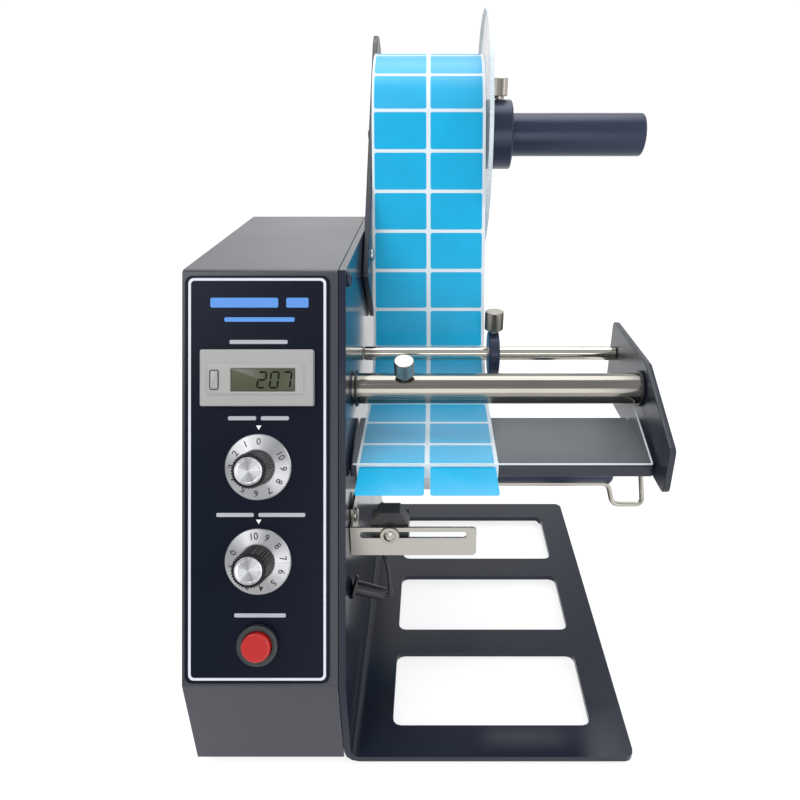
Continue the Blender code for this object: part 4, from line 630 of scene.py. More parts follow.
@finish("label_stock")
def label_stock(paint):
    """The roll: labels round the outside, the edges of its layers on both sides."""
    look = bpy.context.scene.dispenser_look
    x, y, z = paint.parts(paint.spot())
    dy, dz = y - float(at(0, SPOOL[0], 0)[1]), z - SPOOL[1] * MM
    radius = (dy * dy + dz * dz).root()
    along = paint.maths_angle(dz, dy) * (look.roll_radius * MM) - LEAVE_TURN * ROLL_RADIUS * MM
    outside = (radius - (look.roll_radius - 0.35) * MM).step(-0.00005, 0.00005)
    across = x - float(ORIGIN[0])
    mask = label_mask(across, along, look.label_pitch * MM, ROW * MM) * outside
    layers = (radius * 2600).fraction()
    wander = paint.noise(500.0, 3.0, (0.1, 1, 1))
    edge = paint.blend(layers * 0.5 + wander * 0.5, (0.05, 0.34, 0.60, 1), (0.62, 0.78, 0.88, 1))
    blue, liner, _ = label_inks(paint)
    wrapped = paint.blend(mask, liner, blue)
    height = mask * 0.8 + layers * (1 - outside)
    return paint.set(Base_Color=paint.blend(outside, edge, wrapped),
        Roughness=0.42 - mask * 0.12 + wander * 0.1, Normal=paint.shape(height, 0.00006, 0.6))


@finish("peeled_label")
def peeled_label(paint):
    """A single label, printed all over."""
    colour = bpy.context.scene.dispenser_look.label_colour
    cloud = paint.noise(60.0, 2.0)
    fibre = paint.noise(1500.0, 2.0)
    mixed = paint.blend(cloud, tone(colour, 0.92), tone(colour, 1.12))
    return paint.set(Base_Color=mixed, Roughness=fibre * 0.08 + 0.28,
        Normal=paint.shape(fibre, 0.00001, 0.3))


@finish("circuit_board")
def circuit_board(paint):
    """Green laminate with paler tracks and dark parts above it."""
    x, y, z = paint.parts(paint.spot())
    tracks = ((x * 400).fraction() - 0.8).step(0.0, 0.02).most(((y * 260).fraction() - 0.85).step(0.0, 0.02))
    board = paint.blend(tracks, (0.02, 0.17, 0.07, 1), (0.12, 0.36, 0.14, 1))
    raised = (z - 0.0165).step(0.0, 0.0004)
    return paint.set(Base_Color=paint.blend(raised, board, (0.03, 0.03, 0.035, 1)),
        Roughness=tracks * 0.1 + 0.35)


# ---------------------------------------------------------------- user settings

class DispenserLook(bpy.types.PropertyGroup):
    """Sizes in millimetres and colours that a user may change before building."""
    label_width: FloatProperty(name="Label width", description="Width of one printed label in millimetres",
        default=28.8, min=10, max=30)
    label_length: FloatProperty(name="Label length",
        description="Length of one label along the web, in millimetres", default=19.9, min=10, max=21)
    label_pitch: FloatProperty(name="Label pitch",
        description="Distance from one label row to the next, in millimetres", default=21.7, min=11, max=40)
    roll_radius: FloatProperty(name="Roll radius",
        description="Outer radius of the label roll in millimetres", default=44.5, min=30, max=44.5)
    knurl_count: IntProperty(name="Knurl count", description="Number of knurls round a thumb screw",
        default=58, min=12, max=72)
    grip_ribs: IntProperty(name="Grip ribs", description="Number of ribs round a dial's grip", default=36,
        min=8, max=48)
    counter_reading: StringProperty(name="Counter reading", description="Digits that the counter shows",
        default="207", maxlen=5)
    label_colour: FloatVectorProperty(name="Label colour", description="Colour printed on the labels",
        subtype="COLOR", size=3, default=(0.006, 0.385, 0.66), min=0, max=1)
    film_colour: FloatVectorProperty(name="Panel colour",
        description="Ground colour of the control panel film", subtype="COLOR", size=3,
        default=(0.002, 0.0045, 0.013), min=0, max=1)


class DispenserStage(bpy.types.PropertyGroup):
    """Light and camera settings."""
    key_power: FloatProperty(name="Key light", description="Power of the main soft light", default=8.0, min=0,
        unit="POWER")
    fill_power: FloatProperty(name="Fill light", description="Power of the fill light", default=4.0, min=0,
        unit="POWER")
    top_power: FloatProperty(name="Top light", description="Power of the light above the machine",
        default=8.0, min=0, unit="POWER")
    sky: FloatProperty(name="Sky", description="Strength of the even light from all round", default=0.62,
        min=0, max=2)
    lens: FloatProperty(name="Lens", description="Focal length of the camera in millimetres", default=29.925,
        subtype="DISTANCE_CAMERA")


# ---------------------------------------------------------------- shared shapes

def knurl(count, depth):
    """Straight knurling: a triangle wave of the angle lowers the widest rows."""
    def ripple(angle, height, radius):
        ridge = np.abs((angle * count / math.tau) % 1 - 0.5) * 2
        inner = (radius > radius.max() - 0.02) & (height > 0)
        return np.where(inner, (ridge - 1) * depth, 0 * angle)
    return ripple


def ribs(count, depth):
    """Straight ribs: the radius falls by a share of one minus the cosine of the angle times their count."""
    def ripple(angle, height, radius):
        return np.where(radius > 6.5, -(depth / 2) * (1 - np.cos(angle * count)), 0 * angle)
    return ripple


def thumb_screw(name, node, centre, axis, radius, foot, height, neck):
    """A flat topped knurled head on a neck, with its shank below."""
    look = bpy.context.scene.dispenser_look
    guide = X if abs(axis[0]) < 0.9 else Y
    side = unit(guide - axis * (guide @ axis))
    place = Place(centre, side, np.cross(axis, side), axis)
    low, top = foot + neck, foot + neck + height
    sides = np.linspace(low + 0.35, top - 0.4, 4)
    profile = [(0, foot - 1.2), (1.5, foot - 1.2), (1.5, foot - 0.2), (3.0, foot), (3.0, low),
        (radius - 0.35, low)]
    profile += [(radius, h) for h in sides]
    profile += [(radius - 0.1, top - 0.15), (radius - 0.3, top), (0, top)]
    return piece(name, turned(place, profile, 232, knurl(look.knurl_count, 0.16)), "nickel", node, angle=50)


def spun(name, place, profile, sides, finish_name, node):
    """A piece of spun aluminium, with its angle and radius kept as the map that its painted sheen is read
    from.
    """
    ring = turned(place, profile, sides)
    turn = np.linspace(0, 1, sides, endpoint=False)
    radius = held(profile)[:, :1] * MM
    marks = np.stack([turn + 0 * radius, radius + 0 * turn], -1).reshape(-1, 2)
    return piece(name, ring, finish_name, node, uv=marks, angle=25)


def socket_screw(name, node, y, z, x, radius, head, finish_name="black_anodised"):
    """A round head with a hexagonal socket: the head's dome, then the socket's wall and floor."""
    place = on_x(y, z, x)
    count, socket = 72, radius * 0.5
    angle = np.linspace(0, math.tau, count, endpoint=False)
    circle = np.stack([np.cos(angle), np.sin(angle)], 1)
    flat_side = math.cos(math.pi / 6) / np.cos((angle % (math.pi / 3)) - math.pi / 6)
    hexagon = circle * (flat_side * socket)[:, None]
    dome = [(circle * radius * math.cos(t), head * (0.35 + 0.65 * math.sin(t)))
        for t in np.linspace(0, 0.95, 6)]
    rows = [(circle * radius * 0.97, 0.0), (circle * radius, head * 0.1), *dome, (hexagon, head * 0.9),
        (hexagon * 0.97, head * 0.25)]
    return piece(name, loft(place, rows), finish_name, node, angle=28)


def lettering(name, words, finish_name, body):
    """Small characters as one mesh: text, size, place, x, y, turn and a rule for the height at a radius."""
    shapes = []
    for text, size, place, x, y, turn, up in words:
        font = bpy.data.curves.new("figure", "FONT")
        font.body, font.size, font.extrude, font.offset = text, size, 0.03, 0.02
        font.align_x = font.align_y = "CENTER"
        font.resolution_u = 3
        carrier = bpy.data.objects.new("figure", font)
        bpy.context.scene.collection.objects.link(carrier)
        bpy.context.view_layer.update()
        mesh = carrier.to_mesh()
        flat = np.array([tuple(vertex.co) for vertex in mesh.vertices])
        faces = [list(face.vertices) for face in mesh.polygons]
        carrier.to_mesh_clear()
        bpy.data.objects.remove(carrier)
        bpy.data.curves.remove(font)
        c, s = math.cos(turn), math.sin(turn)
        spun = flat @ np.array([[c, s, 0], [-s, c, 0], [0, 0, 1]]) + (x, y, 0)
        spun[:, 2] += up(np.hypot(spun[:, 0], spun[:, 1]))
        shapes.append((place.points(spun), faces))
    return piece(name, joined(*shapes), finish_name, body, replace=False, angle=20)


# ---------------------------------------------------------------- pieces

def build_housing():
    """Sheet metal of the frame and housing, copied smooth from the solids."""
    smoothed("side_frame", "side_gloss", ease=0.35)
    smoothed("housing_cover", "grey_powder_coat", ease=0.3)
    smoothed("rear_panel", "grey_powder_coat", ease=0.3)
    smoothed("panel_overlay", "panel_film")
    dress("grey_powder_coat", "floor_tray")
    for number in range(1, 5):
        node = "foot_%d" % number
        low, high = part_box(node)
        middle = (np.array(low) + np.array(high)) / 2
        place = Place((middle[0], middle[1], low[2]), X, Y, Z)
        top = (high[2] - low[2]) / MM
        profile = [(0, 0.25), (4.2, 0.25), (4.6, 0), (6.1, 0), (6.5, 0.5), (6.5, top), (0, top)]
        piece(node + "_pad", turned(place, profile, 64), "rubber", node)


def build_counter():
    """Counter bezel with its raised inner frame, olive window, digits and reset button."""
    look = bpy.context.scene.dispenser_look
    place = on_panel(COUNTER_UP)
    outer = box_outline(48, 24, 1.0)
    body = box_outline(44.4, 21.6, 0.6)
    raised = box_outline(40.9, 12.7, 0.9, -0.3, -0.7)
    window = box_outline(27.1, 9.7, 0.4, 2.8, -0.9)
    rows = [(body, -36.0), (body, 0.9), (outer, 1.0), (outer, 4.1), (inset(outer, 0.18), 4.5),
        (inset(outer, 0.6), 4.7), (inset(raised, -0.3), 4.7), (raised, 4.85), (inset(raised, 0.1), 5.15),
        (inset(raised, 0.4), 5.25), (inset(window, -0.5), 5.25), (inset(window, -0.15), 5.1), (window, 4.35),
        (inset(window, 0.3), 4.2)]
    piece("counter_bezel", loft(place, rows), "pale_plastic", "counter_case", angle=20)
    piece("counter_glass", slab(place, inset(window, 0.02), 4.22, 4.6, 0.15), "display", "counter_window",
        angle=20)
    button = box_outline(3.1, 7.6, 0.5, -17.6, -0.9)
    piece("reset_key", slab(place, button, 4.0, 5.95, 0.5), "pale_plastic", "reset_button")
    # A thin dark band round the key, level with the bezel's face: painted shade of the gap round the key.
    ring = loft(place, [(inset(button, -0.1), 5.2), (inset(button, -0.1), 5.3), (inset(button, -0.45), 5.3),
        (inset(button, -0.45), 5.2)], cap=(False, False))
    piece("reset_gap_shade", ring, "printed_black", "counter_case", replace=False)
    bars = {"a": (0, 1, 0), "b": (1, 0.5, 1), "c": (1, -0.5, 1), "d": (0, -1, 0), "e": (-1, -0.5, 1),
        "f": (-1, 0.5, 1), "g": (0, 0, 0)}
    lit = {"0": "abcdef", "1": "bc", "2": "abged", "3": "abgcd", "4": "fgbc", "5": "afgcd", "6": "afgedc",
        "7": "abc", "8": "abcdefg", "9": "abcdfg"}
    shapes = []
    for spot, digit in enumerate(reversed(look.counter_reading)):
        for name in lit.get(digit, ""):
            x, y, upright = bars[name]
            bar = box_outline(*((0.72, 2.75) if upright else (2.7, 0.72)), 0.25, x * 1.62, y * 3.3)
            slant = bar[:, 1] * 0.14
            bar = bar + np.stack([slant + 12.9 - spot * 5.3, 0 * slant - 0.9], 1)
            shapes.append(slab(place, bar, 4.56, 4.68, 0.03))
    if shapes:
        piece("counter_digits", joined(*shapes), "segment_black", "counter_window", replace=False)


def build_dial(kind, up, start):
    """One dial: potentiometer, numbered skirt, ribbed grip and turned cap; start is where its 0 stands."""
    look = bpy.context.scene.dispenser_look
    place, body = on_panel(up), kind + "_knob"
    nodes = [kind + suffix for suffix in ("_potentiometer", "_knob_skirt", "_knob_grip", "_knob_cap")]
    dress("zinc_steel", nodes[0])
    skirt = eased([(3.3, 3.7), (7.9, 3.7), (13.9, 2.1), (14.25, 1.7), (14.25, 1.1), (9.0, 1.1), (8.7, 2.9),
        (3.3, 2.9)], [0, 0.3, 0.3, 0.2, 0.05, 0.05, 0.2, 0])
    spun(kind + "_dial_skirt", place, closed(skirt), 128, "spun_skirt", nodes[1])
    grip = [(3.4, 4.0), (7.3, 4.0), (7.6, 4.3), (7.25, 16.6), (7.0, 17.1), (6.7, 17.3), (6.1, 17.3),
        (6.0, 16.5), (3.4, 16.5)]
    piece(kind + "_dial_grip", turned(place, closed(grip), 312, ribs(look.grip_ribs, 0.6)), "glossy_black",
        nodes[2], angle=40)
    cap = eased([(0, 17.15), (4.4, 17.15), (4.8, 17.3), (5.6, 17.3), (5.8, 17.1), (5.8, 16.8), (3, 16.8),
        (3, -10.9), (0, -10.9)], 0.12)
    spun(kind + "_dial_cap", place, cap, 96, "spun_cap", nodes[3])
    marks = []
    for number in range(11):
        turn = math.radians(start - 30 * number)
        x, y = 10.95 * math.sin(turn), 10.95 * math.cos(turn)
        marks.append((str(number), 4.0, place, x, y, -turn, lambda radius: 3.74 - (radius - 7.9) * 0.2667))
    lettering(kind + "_dial_numbers", marks, "printed_black", body)


def build_power():
    """Round power switch: a flat dark ring and a flat topped red button."""
    place = on_panel(POWER_UP)
    ring = eased([(0, -7.3), (6.45, -7.3), (6.45, 3.8), (8.7, 3.8), (8.7, 1.0), (7.6, 1.0), (7.6, -24),
        (0, -24)], [0, 0.2, 0.15, 0.35, 0.1, 0.1, 0.3, 0])
    piece("power_ring", turned(place, ring), "dark_grey_plastic", "power_switch")
    button = eased([(0, 6.05), (6.2, 6.05), (6.3, -4.5), (0, -4.5)], [0, 0.8, 0.1, 0])
    piece("power_lens", turned(place, button), "red_lens", "power_button")


def build_drive():
    """Take up shaft with its wound liner and wire clip; bearing and hidden gears get their finishes."""
    y, z = TAKE_UP
    shaft = on_x(y, z)
    left, _ = span("take_up_shaft")
    profile = eased([(0, left), (5, left), (5, 0.6), (9.6, 0.6), (10, 1.0), (10, 130.4), (9.2, 131.4),
        (2.2, 131.4), (0.6, 129.9), (0, 129.9)], [0, 0.3, 0.1, 0.1, 0.2, 0.4, 0.3, 0.2, 0.1, 0])
    piece("take_up_roller", turned(shaft, profile), "black_anodised", "take_up_shaft")
    left, right = span("wound_liner")
    turns = [(WOUND_RADIUS - 0.12 * (number % 2), x) for number, x in enumerate(np.linspace(left, right, 9))]
    wind = [(11.55, left), *turns, (11.55, right)]
    piece("wound_sleeve", turned(shaft, closed(wind)), "liner_paper", "wound_liner")
    spoke = np.array([0, math.cos(CLIP_TURN), math.sin(CLIP_TURN)])

    def wire_at(x, out):
        return at(x, y, z) + spoke * out * MM
    corners = [wire_at(4.5, 9.8), wire_at(130.0, 9.8), wire_at(131.75, 20.7), wire_at(147.5, 20.7),
        wire_at(147.5, -9.8), wire_at(4.5, -9.8)]
    path = eased(corners, [0, 0.0035, 0.0035, 0.0035, 0.0035, 0], steps=8)
    line = np.vstack([np.linspace(path[0], path[1], 12)[:-1], path[1:-1],
        np.linspace(path[-2], path[-1], 12)[1:]])
    piece("clip_wire", tube(line, 1.3, 20, np.cross(X, spoke)), "nickel", "liner_clip", angle=60)
    dress("gear_plastic", "drive_wheel")
    dress("brass", "motor_pinion")
    dress("zinc_steel", "gear_motor", "take_up_bearing")


def build_platform():
    """Peeling platform, end plate, press bar with its clear plate, guide rod and ring."""
    smoothed("platform", "black_powder_coat", ease=0.3)
    smoothed("end_plate", "black_powder_coat", ease=0.5)
    bar = on_x(*PRESS_BAR)
    profile = eased([(0, 0.3), (3.7, 0.3), (4.0, 0.6), (4.0, 1.0), (7.3, 1.0), (7.3, 135.0), (4.0, 135.0),
        (4.0, 138.7), (3.6, 139), (0, 139)], [0, 0.1, 0.1, 0.1, 0.3, 0.3, 0.1, 0.2, 0.1, 0])
    left, right = span("press_bar")
    profile[:, 1] = left + (profile[:, 1] - 0.3) / 138.7 * (right - left)
    # The press bar takes the chrome painted darker, for the darker reflections it shows.
    piece("press_roller", turned(bar, profile), "chrome_painted_dark", "press_bar")
    for name, x in (("left", 0.6), ("right", 134.4)):
        ring = eased([(7.25, x), (8.4, x), (8.6, x + 0.2), (8.6, x + 1.0), (8.4, x + 1.2), (7.25, x + 1.2)],
            [0, 0.1, 0.1, 0.1, 0.1, 0])
        piece("press_ring_" + name, turned(bar, closed(ring)), "black_plastic", "press_bar",
            replace=False)
    smoothed("press_plate", "clear_acrylic", 20)
    normal = np.array([0, -math.sin(PLATE_TILT), math.cos(PLATE_TILT)])
    forward = np.array([0, -math.cos(PLATE_TILT), -math.sin(PLATE_TILT)])
    # Pale tubes along the clear plate's front and right edges: a painted highlight where the edges catch
    # light.
    edge = at(0, *PRESS_BAR) - normal * 8.6 * MM + forward * 40.3 * MM
    low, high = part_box("press_plate")
    path = edge * (0, 1, 1) + X * np.linspace(low[0] + 0.0003, high[0] - 0.0003, 12)[:, None]
    piece("press_plate_edge_highlight", tube(path, 0.42, 12, normal), "acrylic_edge", "press_plate", replace=False,
        angle=60)
    side_line = edge + X * (high[0] - 0.0003 - edge[0]) - forward * np.linspace(0, 0.038, 8)[:, None]
    piece("press_plate_side_highlight", tube(side_line, 0.4, 12, normal), "acrylic_edge", "press_plate", replace=False,
        angle=60)
    thumb_screw("press_thumb_screw", "press_screw", at(24, *PRESS_BAR), normal, 4.6, 7.6, 8.0, 1.5)
    rod = eased([(0, 0.3), (3.5, 0.3), (3.8, 0.6), (3.8, 135.4), (3.5, 135.7), (0, 135.7)], 0.15)
    rail = on_x(*GUIDE_ROD)
    piece("guide_bar", turned(rail, rod, 64), "chrome", "guide_rod")
    ring = eased([(4.1, 66.8), (11.5, 66.8), (12, 67.3), (12, 71.9), (11.5, 72.4), (4.1, 72.4)],
        [0, 0.2, 0.2, 0.2, 0.2, 0])
    piece("guide_collar", turned(rail, closed(ring)), "black_anodised", "guide_ring")
    thumb_screw("guide_thumb_screw", "ring_screw", at(69.6, *GUIDE_ROD), Z, 4.9, 12.3, 10.0, 1.5)
    socket_screw("plate_cap_screw", "plate_screw", 82, 206.5, 0.0, 3.4, 1.8)


def build_spool():
    """Arm, shaft, clear flange, its collar and the label roll."""
    smoothed("spool_arm", "black_powder_coat", ease=0.5)
    along = np.array([math.cos(ARM_TILT), math.sin(ARM_TILT)])
    across = np.array([-along[1], along[0]])
    for node, side in (("arm_screw_front", 1), ("arm_screw_rear", -1)):
        y, z = np.array(SPOOL) - 93 * along + side * 10.3 * across
        socket_screw(node + "_head", node, y, z, 3.3, 3.4, 1.8, "zinc_steel")
    dress("black_anodised", "spool_screw")
    spool = on_x(*SPOOL)
    left, _ = span("spool_shaft")
    shaft = eased([(0, left), (12.2, left), (12.5, left + 0.3), (12.5, 164.8), (11.7, 165.6), (3.0, 165.6),
        (0.8, 163.6), (0, 163.6)], [0, 0.1, 0.2, 0.5, 0.3, 0.3, 0.2, 0])
    piece("spool_tube", turned(spool, shaft, 128), "black_anodised", "spool_shaft")
    disc = eased([(12.8, 66.7), (67.4, 66.7), (67.4, 69.0), (12.8, 69.0)], [0, 0.1, 0.1, 0])
    piece("flange_disc", turned(spool, closed(disc), 192), "clear_disc", "clear_flange")
    # The flange's rim in the pale edge finish: a painted highlight where its edge catches light.
    rim = eased([(67.45, 66.75), (67.8, 66.7), (68, 66.95), (68, 68.75), (67.8, 69.0), (67.45, 68.95)],
        [0, 0.1, 0.1, 0.1, 0.1, 0])
    piece("flange_rim_highlight", turned(spool, closed(rim), 192), "acrylic_edge", "clear_flange", replace=False)
    collar = eased([(12.95, 69.3), (19.3, 69.3), (20, 70.0), (20, 84.0), (19.2, 84.8), (13.6, 84.8),
        (12.95, 84.3)], [0, 0.2, 0.3, 0.3, 0.3, 0.2, 0])
    piece("flange_hub", turned(spool, closed(collar), 128), "black_anodised", "flange_collar")
    thumb_screw("hub_thumb_screw", "collar_screw", at(77.05, *SPOOL), Z, 4.9, 20.3, 10.0, 1.5)
    roll = eased([(15.1, WEB_LEFT), (ROLL_RADIUS, WEB_LEFT), (ROLL_RADIUS, WEB_RIGHT), (15.1, WEB_RIGHT)],
        [0, 0.15, 0.15, 0])
    piece("label_wind", turned(spool, closed(roll), 192), "label_stock", "label_roll")
    dress("core_board", "roll_core")


def web_line():
    """The liner's middle line as (y, z) in millimetres: roll, loose bend, platform, peeling edge, take up."""
    bend, spool = np.array([154.5, 157.0]), np.array(SPOOL)

    def touch(centre, radius, point, side):
        away = point - centre
        turn = math.atan2(away[1], away[0]) + side * math.acos(radius / np.hypot(*away))
        return centre + radius * np.array([math.cos(turn), math.sin(turn)])
    leave = touch(spool, ROLL_RADIUS + WEB_CLEARANCE, bend, -1)
    fall = unit(bend - leave)
    land = np.array([110.0, WEB_HEIGHT])
    t = np.linspace(0, 1, 33)[:, None]
    curve = (bend * (1 - t) ** 3 + (bend + fall * 14) * 3 * (1 - t) ** 2 * t
        + (land + (22, 0)) * 3 * (1 - t) * t ** 2 + land * t ** 3)
    over, under = np.array([NOSE_Y, WEB_HEIGHT - NOSE_RADIUS]), np.array([NOSE_Y, 126.0])
    angle = np.linspace(math.pi / 2, math.pi, 9)
    front = over + NOSE_RADIUS * np.stack([np.cos(angle), np.sin(angle)], 1)
    end = touch(np.array(TAKE_UP), WOUND_RADIUS + WEB_CLEARANCE, under, -1)
    run = unit(under - end)
    angle = np.linspace(math.pi, math.atan2(run[1], run[0]) + math.pi / 2, 7)
    back = under + NOSE_RADIUS * np.stack([np.cos(angle), np.sin(angle)], 1)
    straight = leave + (bend - leave) * np.linspace(0, 1, 12, endpoint=False)[:, None]
    flat_run = land + (np.array([NOSE_Y, WEB_HEIGHT]) - land) * np.linspace(0, 1, 12)[1:-1, None]
    return np.vstack([straight, curve, flat_run, front, back, end[None]])


WEB = web_line()
WEB_LENGTH = np.concatenate([[0], np.cumsum(np.linalg.norm(np.diff(WEB, axis=0), axis=1))])
PEEL = float(WEB_LENGTH[np.argmax(WEB[:, 0] < NOSE_Y + 0.01)])   # arc length where the labels come off
ROW = PEEL - 17.5                                                # arc length of one gap between rows
LEAVE_TURN = math.atan2(WEB[0, 1] - SPOOL[1], WEB[0, 0] - SPOOL[0])


def build_labels():
    """The running web with its labels, and the two labels that stand off the peeling edge."""
    tangent = unit(np.gradient(WEB, axis=0))
    normal = np.stack([-tangent[:, 1], tangent[:, 0]], 1)
    half = 0.14
    rows, marks = [], []
    for x, offset in ((WEB_LEFT, half), (WEB_RIGHT, half), (WEB_RIGHT, -half), (WEB_LEFT, -half)):
        shifted = WEB + normal * offset
        rows.append(np.stack([at(x, y, z) for y, z in shifted]))
        marks.append(np.stack([WEB_LENGTH * MM, np.full(len(WEB), x * MM)], 1))
    points = np.stack(rows, 1)
    places = np.stack(marks, 1).reshape(-1, 2)
    vertices, faces = grid(points)
    count = len(vertices)
    faces += [[3, 2, 1, 0], [count - 4, count - 3, count - 2, count - 1]]
    piece("label_run", (vertices, faces), "running_labels", "label_web", uv=places, angle=40)
    for side in ("left", "right"):
        node = "peeled_label_" + side
        low, high = (np.array(corner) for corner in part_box(node))
        middle, size = (low + high) / 2, (high - low) / MM
        place = Place((middle[0], middle[1], low[2]), X, Y, Z)
        outline = box_outline(size[0], size[1], 1.3)
        points, faces = slab(place, outline, 0.02, 0.24, 0.05)
        front = (high[1] - points[:, 1]) / (high[1] - low[1])
        points[:, 2] -= 0.0006 * front ** 2
        piece(node + "_sheet", (points, faces), "peeled_label", node)


def build_sensor():
    """Slotted bracket, photo sensor with its screw, lead and gland."""
    smoothed("sensor_bracket", "stainless", ease=0.15)
    smoothed("photo_sensor", "black_plastic", 20)
    place = Place(at(18, 38, 101.7), X, Z, -Y)
    head = eased([(0, 2.0), (1.4, 2.0), (2.6, 1.4), (2.7, 0.95), (2.75, 0.9), (4.2, 0.9), (4.3, 0.75),
        (4.3, 0.3), (1.3, 0.3), (1.3, -7.0), (0, -7.0)], 0.12)
    low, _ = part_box("sensor_screw")
    head[:, 1] = np.clip(head[:, 1], -7.0, (at(0, 38, 0)[1] - low[1]) / MM)
    piece("sensor_screw_head", turned(place, head, 64), "nickel", "sensor_screw")
    socket_screw("bracket_cap_screw", "bracket_screw", 49, 105, 1.5, 3.4, 1.8, "nickel")
    droop = math.radians(17)
    out = np.array([math.cos(droop), 0, -math.sin(droop)])
    side = np.cross(Y, out)
    sleeve = Place(at(0, *GLAND), Y, np.cross(out, Y), out)
    waves = [(3.4 - 0.025 * x - (0.22 if number % 2 else 0), x) for number, x in enumerate(np.linspace(2.2,
        14.2, 16))]
    profile = [(0, 1.0), (5.4, 1.0), (5.5, 1.5), (5.2, 2.0), *waves, (3.0, 15.2), (2.8, 15.5), (1.6, 15.5),
        (1.6, 10.5), (0, 10.5)]
    piece("lead_gland", turned(sleeve, profile, 64), "black_plastic", "cable_gland", angle=50)
    root = at(0, *GLAND)
    mouth = root + out * 15.5 * MM
    under = at(13.8, 45.2, 92.2)
    belly = at(16.5, 0, 0) * (1, 0, 0) + (under + mouth) / 2 * (0, 1, 1)
    line = flowing([under, under - Z * 0.004, belly, mouth + out * 0.003 + Z * 0.0015, mouth + out * 0.001,
        root + out * 10.8 * MM], 60)
    piece("sensor_lead", tube(line, 1.0, 16, side), "black_plastic", "sensor_cable", angle=60,
        lead=("sensor", mouth.tolist(), (under - Z * 0.002).tolist()))


def build_electrics():
    """Parts inside the housing and the mains inlet keep their solids and get their finishes."""
    dress("circuit_board", "control_board")
    dress("zinc_steel", "transformer")
    smoothed("mains_inlet", "black_plastic", 25)


def build_stage():
    """A pale floor and backdrop that read white to the camera, soft lamps and the photograph's camera."""
    stage = bpy.context.scene.dispenser_stage
    scene = bpy.context.scene
    scene.view_settings.view_transform = "Standard"
    paint = Paint("pale_floor")
    path = paint.tree.nodes.new("ShaderNodeLightPath")
    seen = Val(paint, path.outputs["Is Camera Ray"]).most(Val(paint, path.outputs["Is Glossy Ray"]))
    seen = seen.most(Val(paint, path.outputs["Is Transmission Ray"]))
    paint.set(Base_Color=(0.86, 0.86, 0.87, 1), Roughness=0.6)
    glow = paint.node("Emission", None, {"Color": (1, 1, 1, 1), "Strength": 1.3})
    mixed = paint.node("MixShader", None, {0: seen * 0.6, 1: Val(paint, paint.shader.outputs[0]), 2: glow})
    paint.tree.links.new(mixed.socket, paint.tree.nodes["Material Output"].inputs["Surface"])
    bend = np.linspace(0, math.pi / 2, 16)
    line = [(-2.5, 0), *[(1.6 + 0.6 * math.sin(a), 0.6 - 0.6 * math.cos(a)) for a in bend], (2.2, 3.0)]
    points = np.array([[(x, y, z - 0.0002) for x in (-3.5, 3.5)] for y, z in line])
    vertices, faces = grid(points, close_columns=False)
    mesh = bpy.data.meshes.new("floor")
    mesh.from_pydata(vertices.tolist(), [], faces)
    mesh.materials.append(paint.material)
    mesh.shade_smooth()
    floor = bpy.data.objects.new("floor", mesh)
    scene.collection.objects.link(floor)
    world = bpy.data.worlds.new("studio")
    scene.world = world
    world.use_nodes = True
    tree = world.node_tree
    light_path = tree.nodes.new("ShaderNodeLightPath")
    ground = tree.nodes["Background"]
    ground.inputs["Color"].default_value = (0.93, 0.96, 1.0, 1)
    ground.inputs["Strength"].default_value = stage.sky
    white = tree.nodes.new("ShaderNodeBackground")
    white.inputs["Strength"].default_value = 1.0
    mixer = tree.nodes.new("ShaderNodeMixShader")
    tree.links.new(light_path.outputs["Is Camera Ray"], mixer.inputs[0])
    tree.links.new(ground.outputs[0], mixer.inputs[1])
    tree.links.new(white.outputs[0], mixer.inputs[2])
    tree.links.new(mixer.outputs[0], tree.nodes["World Output"].inputs["Surface"])
    for name, where, size, power in (("key", (-0.75, -0.85, 1.15), 0.9, stage.key_power),
            ("fill", (0.95, -0.55, 0.75), 0.8, stage.fill_power),
            ("front", (0.1, -1.2, 0.3), 0.6, stage.fill_power * 0.6),
            ("back", (-0.05, 1.4, 0.95), 0.9, stage.fill_power * 0.25),
            ("top", (0.0, 0.35, 1.3), 0.9, stage.top_power)):
        lamp = bpy.data.lights.new(name, "AREA")
        lamp.size, lamp.energy = size, power
        holder = bpy.data.objects.new(name, lamp)
        holder.location = where
        holder.rotation_euler = (Vector((0, 0, 0.12)) - Vector(where)).to_track_quat("-Z", "Y").to_euler()
        scene.collection.objects.link(holder)
    lens = bpy.data.cameras.new("camera")
    lens.lens, lens.sensor_width = stage.lens, 36.0
    lens.shift_x, lens.shift_y = -0.0425, -0.00625
    lens.clip_start = 0.01
    camera = bpy.data.objects.new("camera", lens)
    camera.location = at(*CAMERA).tolist()
    camera.rotation_euler = (math.pi / 2 - CAMERA_DOWN, 0, 0)
    scene.collection.objects.link(camera)
    scene.camera = camera


# ---------------------------------------------------------------- operators and panel

class DISPENSER_OT_stage(bpy.types.Operator):
    """Make the floor, backdrop, lamps and camera"""
    bl_idname = "dispenser.stage"
    bl_label = "Stage"

    def execute(self, context):
        build_stage()
        return {"FINISHED"}


class DISPENSER_OT_housing(bpy.types.Operator):
    """Build the side frame, housing, panel film and feet"""
    bl_idname = "dispenser.housing"
    bl_label = "Housing"

    def execute(self, context):
        build_housing()
        return {"FINISHED"}


class DISPENSER_OT_counter(bpy.types.Operator):
    """Build the counter with its window, digits and reset key"""
    bl_idname = "dispenser.counter"
    bl_label = "Counter"

    def execute(self, context):
        build_counter()
        return {"FINISHED"}


class DISPENSER_OT_length_dial(bpy.types.Operator):
    """Build the upper dial with its numbered skirt, grip and cap"""
    bl_idname = "dispenser.length_dial"
    bl_label = "Length dial"

    def execute(self, context):
        build_dial("length", LENGTH_UP, 2.7)
        return {"FINISHED"}


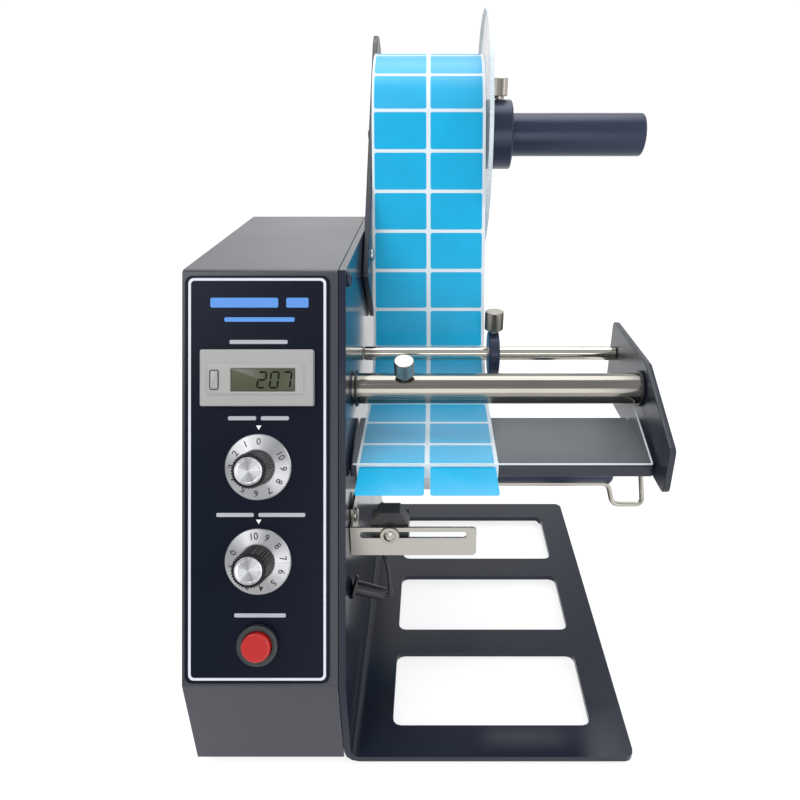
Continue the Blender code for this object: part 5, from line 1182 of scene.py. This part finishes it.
class DISPENSER_OT_speed_dial(bpy.types.Operator):
    """Build the lower dial with its numbered skirt, grip and cap"""
    bl_idname = "dispenser.speed_dial"
    bl_label = "Speed dial"

    def execute(self, context):
        build_dial("speed", SPEED_UP, -68.4)
        return {"FINISHED"}


class DISPENSER_OT_power(bpy.types.Operator):
    """Build the power switch's ring and red button"""
    bl_idname = "dispenser.power"
    bl_label = "Power switch"

    def execute(self, context):
        build_power()
        return {"FINISHED"}


class DISPENSER_OT_drive(bpy.types.Operator):
    """Build the take up shaft with its wound liner and wire clip"""
    bl_idname = "dispenser.drive"
    bl_label = "Take up shaft"

    def execute(self, context):
        build_drive()
        return {"FINISHED"}


class DISPENSER_OT_platform(bpy.types.Operator):
    """Build the peeling platform, end plate, press bar, clear plate and guide rod"""
    bl_idname = "dispenser.platform"
    bl_label = "Platform"

    def execute(self, context):
        build_platform()
        return {"FINISHED"}


class DISPENSER_OT_spool(bpy.types.Operator):
    """Build the arm, spool, clear flange and label roll"""
    bl_idname = "dispenser.spool"
    bl_label = "Spool"

    def execute(self, context):
        build_spool()
        return {"FINISHED"}


class DISPENSER_OT_labels(bpy.types.Operator):
    """Build the running web and the two peeled labels"""
    bl_idname = "dispenser.labels"
    bl_label = "Labels"

    def execute(self, context):
        build_labels()
        return {"FINISHED"}


class DISPENSER_OT_sensor(bpy.types.Operator):
    """Build the label sensor, its bracket, lead and gland"""
    bl_idname = "dispenser.sensor"
    bl_label = "Sensor"

    def execute(self, context):
        build_sensor()
        return {"FINISHED"}


class DISPENSER_OT_electrics(bpy.types.Operator):
    """Finish the parts inside the housing and the mains inlet"""
    bl_idname = "dispenser.electrics"
    bl_label = "Electrics"

    def execute(self, context):
        build_electrics()
        return {"FINISHED"}


STEPS = [DISPENSER_OT_stage, DISPENSER_OT_housing, DISPENSER_OT_counter, DISPENSER_OT_length_dial,
    DISPENSER_OT_speed_dial, DISPENSER_OT_power, DISPENSER_OT_drive, DISPENSER_OT_platform,
    DISPENSER_OT_spool, DISPENSER_OT_labels, DISPENSER_OT_sensor, DISPENSER_OT_electrics]


class DISPENSER_PT_build(bpy.types.Panel):
    """Sidebar panel with the settings and one button per group of pieces."""
    bl_label = "Label dispenser"
    bl_space_type = "VIEW_3D"
    bl_region_type = "UI"
    bl_category = "Dispenser"

    def draw(self, context):
        for settings in (context.scene.dispenser_look, context.scene.dispenser_stage):
            for name in settings.__annotations__:
                self.layout.prop(settings, name)
        for step in STEPS:
            self.layout.operator(step.bl_idname)


CLASSES = [DispenserLook, DispenserStage, *STEPS, DISPENSER_PT_build]


def register():
    for made in CLASSES:
        bpy.utils.register_class(made)
    bpy.types.Scene.dispenser_look = PointerProperty(type=DispenserLook)
    bpy.types.Scene.dispenser_stage = PointerProperty(type=DispenserStage)


def unregister():
    del bpy.types.Scene.dispenser_look
    del bpy.types.Scene.dispenser_stage
    for made in reversed(CLASSES):
        bpy.utils.unregister_class(made)


def main():
    """Builds everything in order."""
    register()
    for step in STEPS:
        getattr(bpy.ops.dispenser, step.bl_idname.split(".")[1])()


if __name__ == "__main__":
    main()
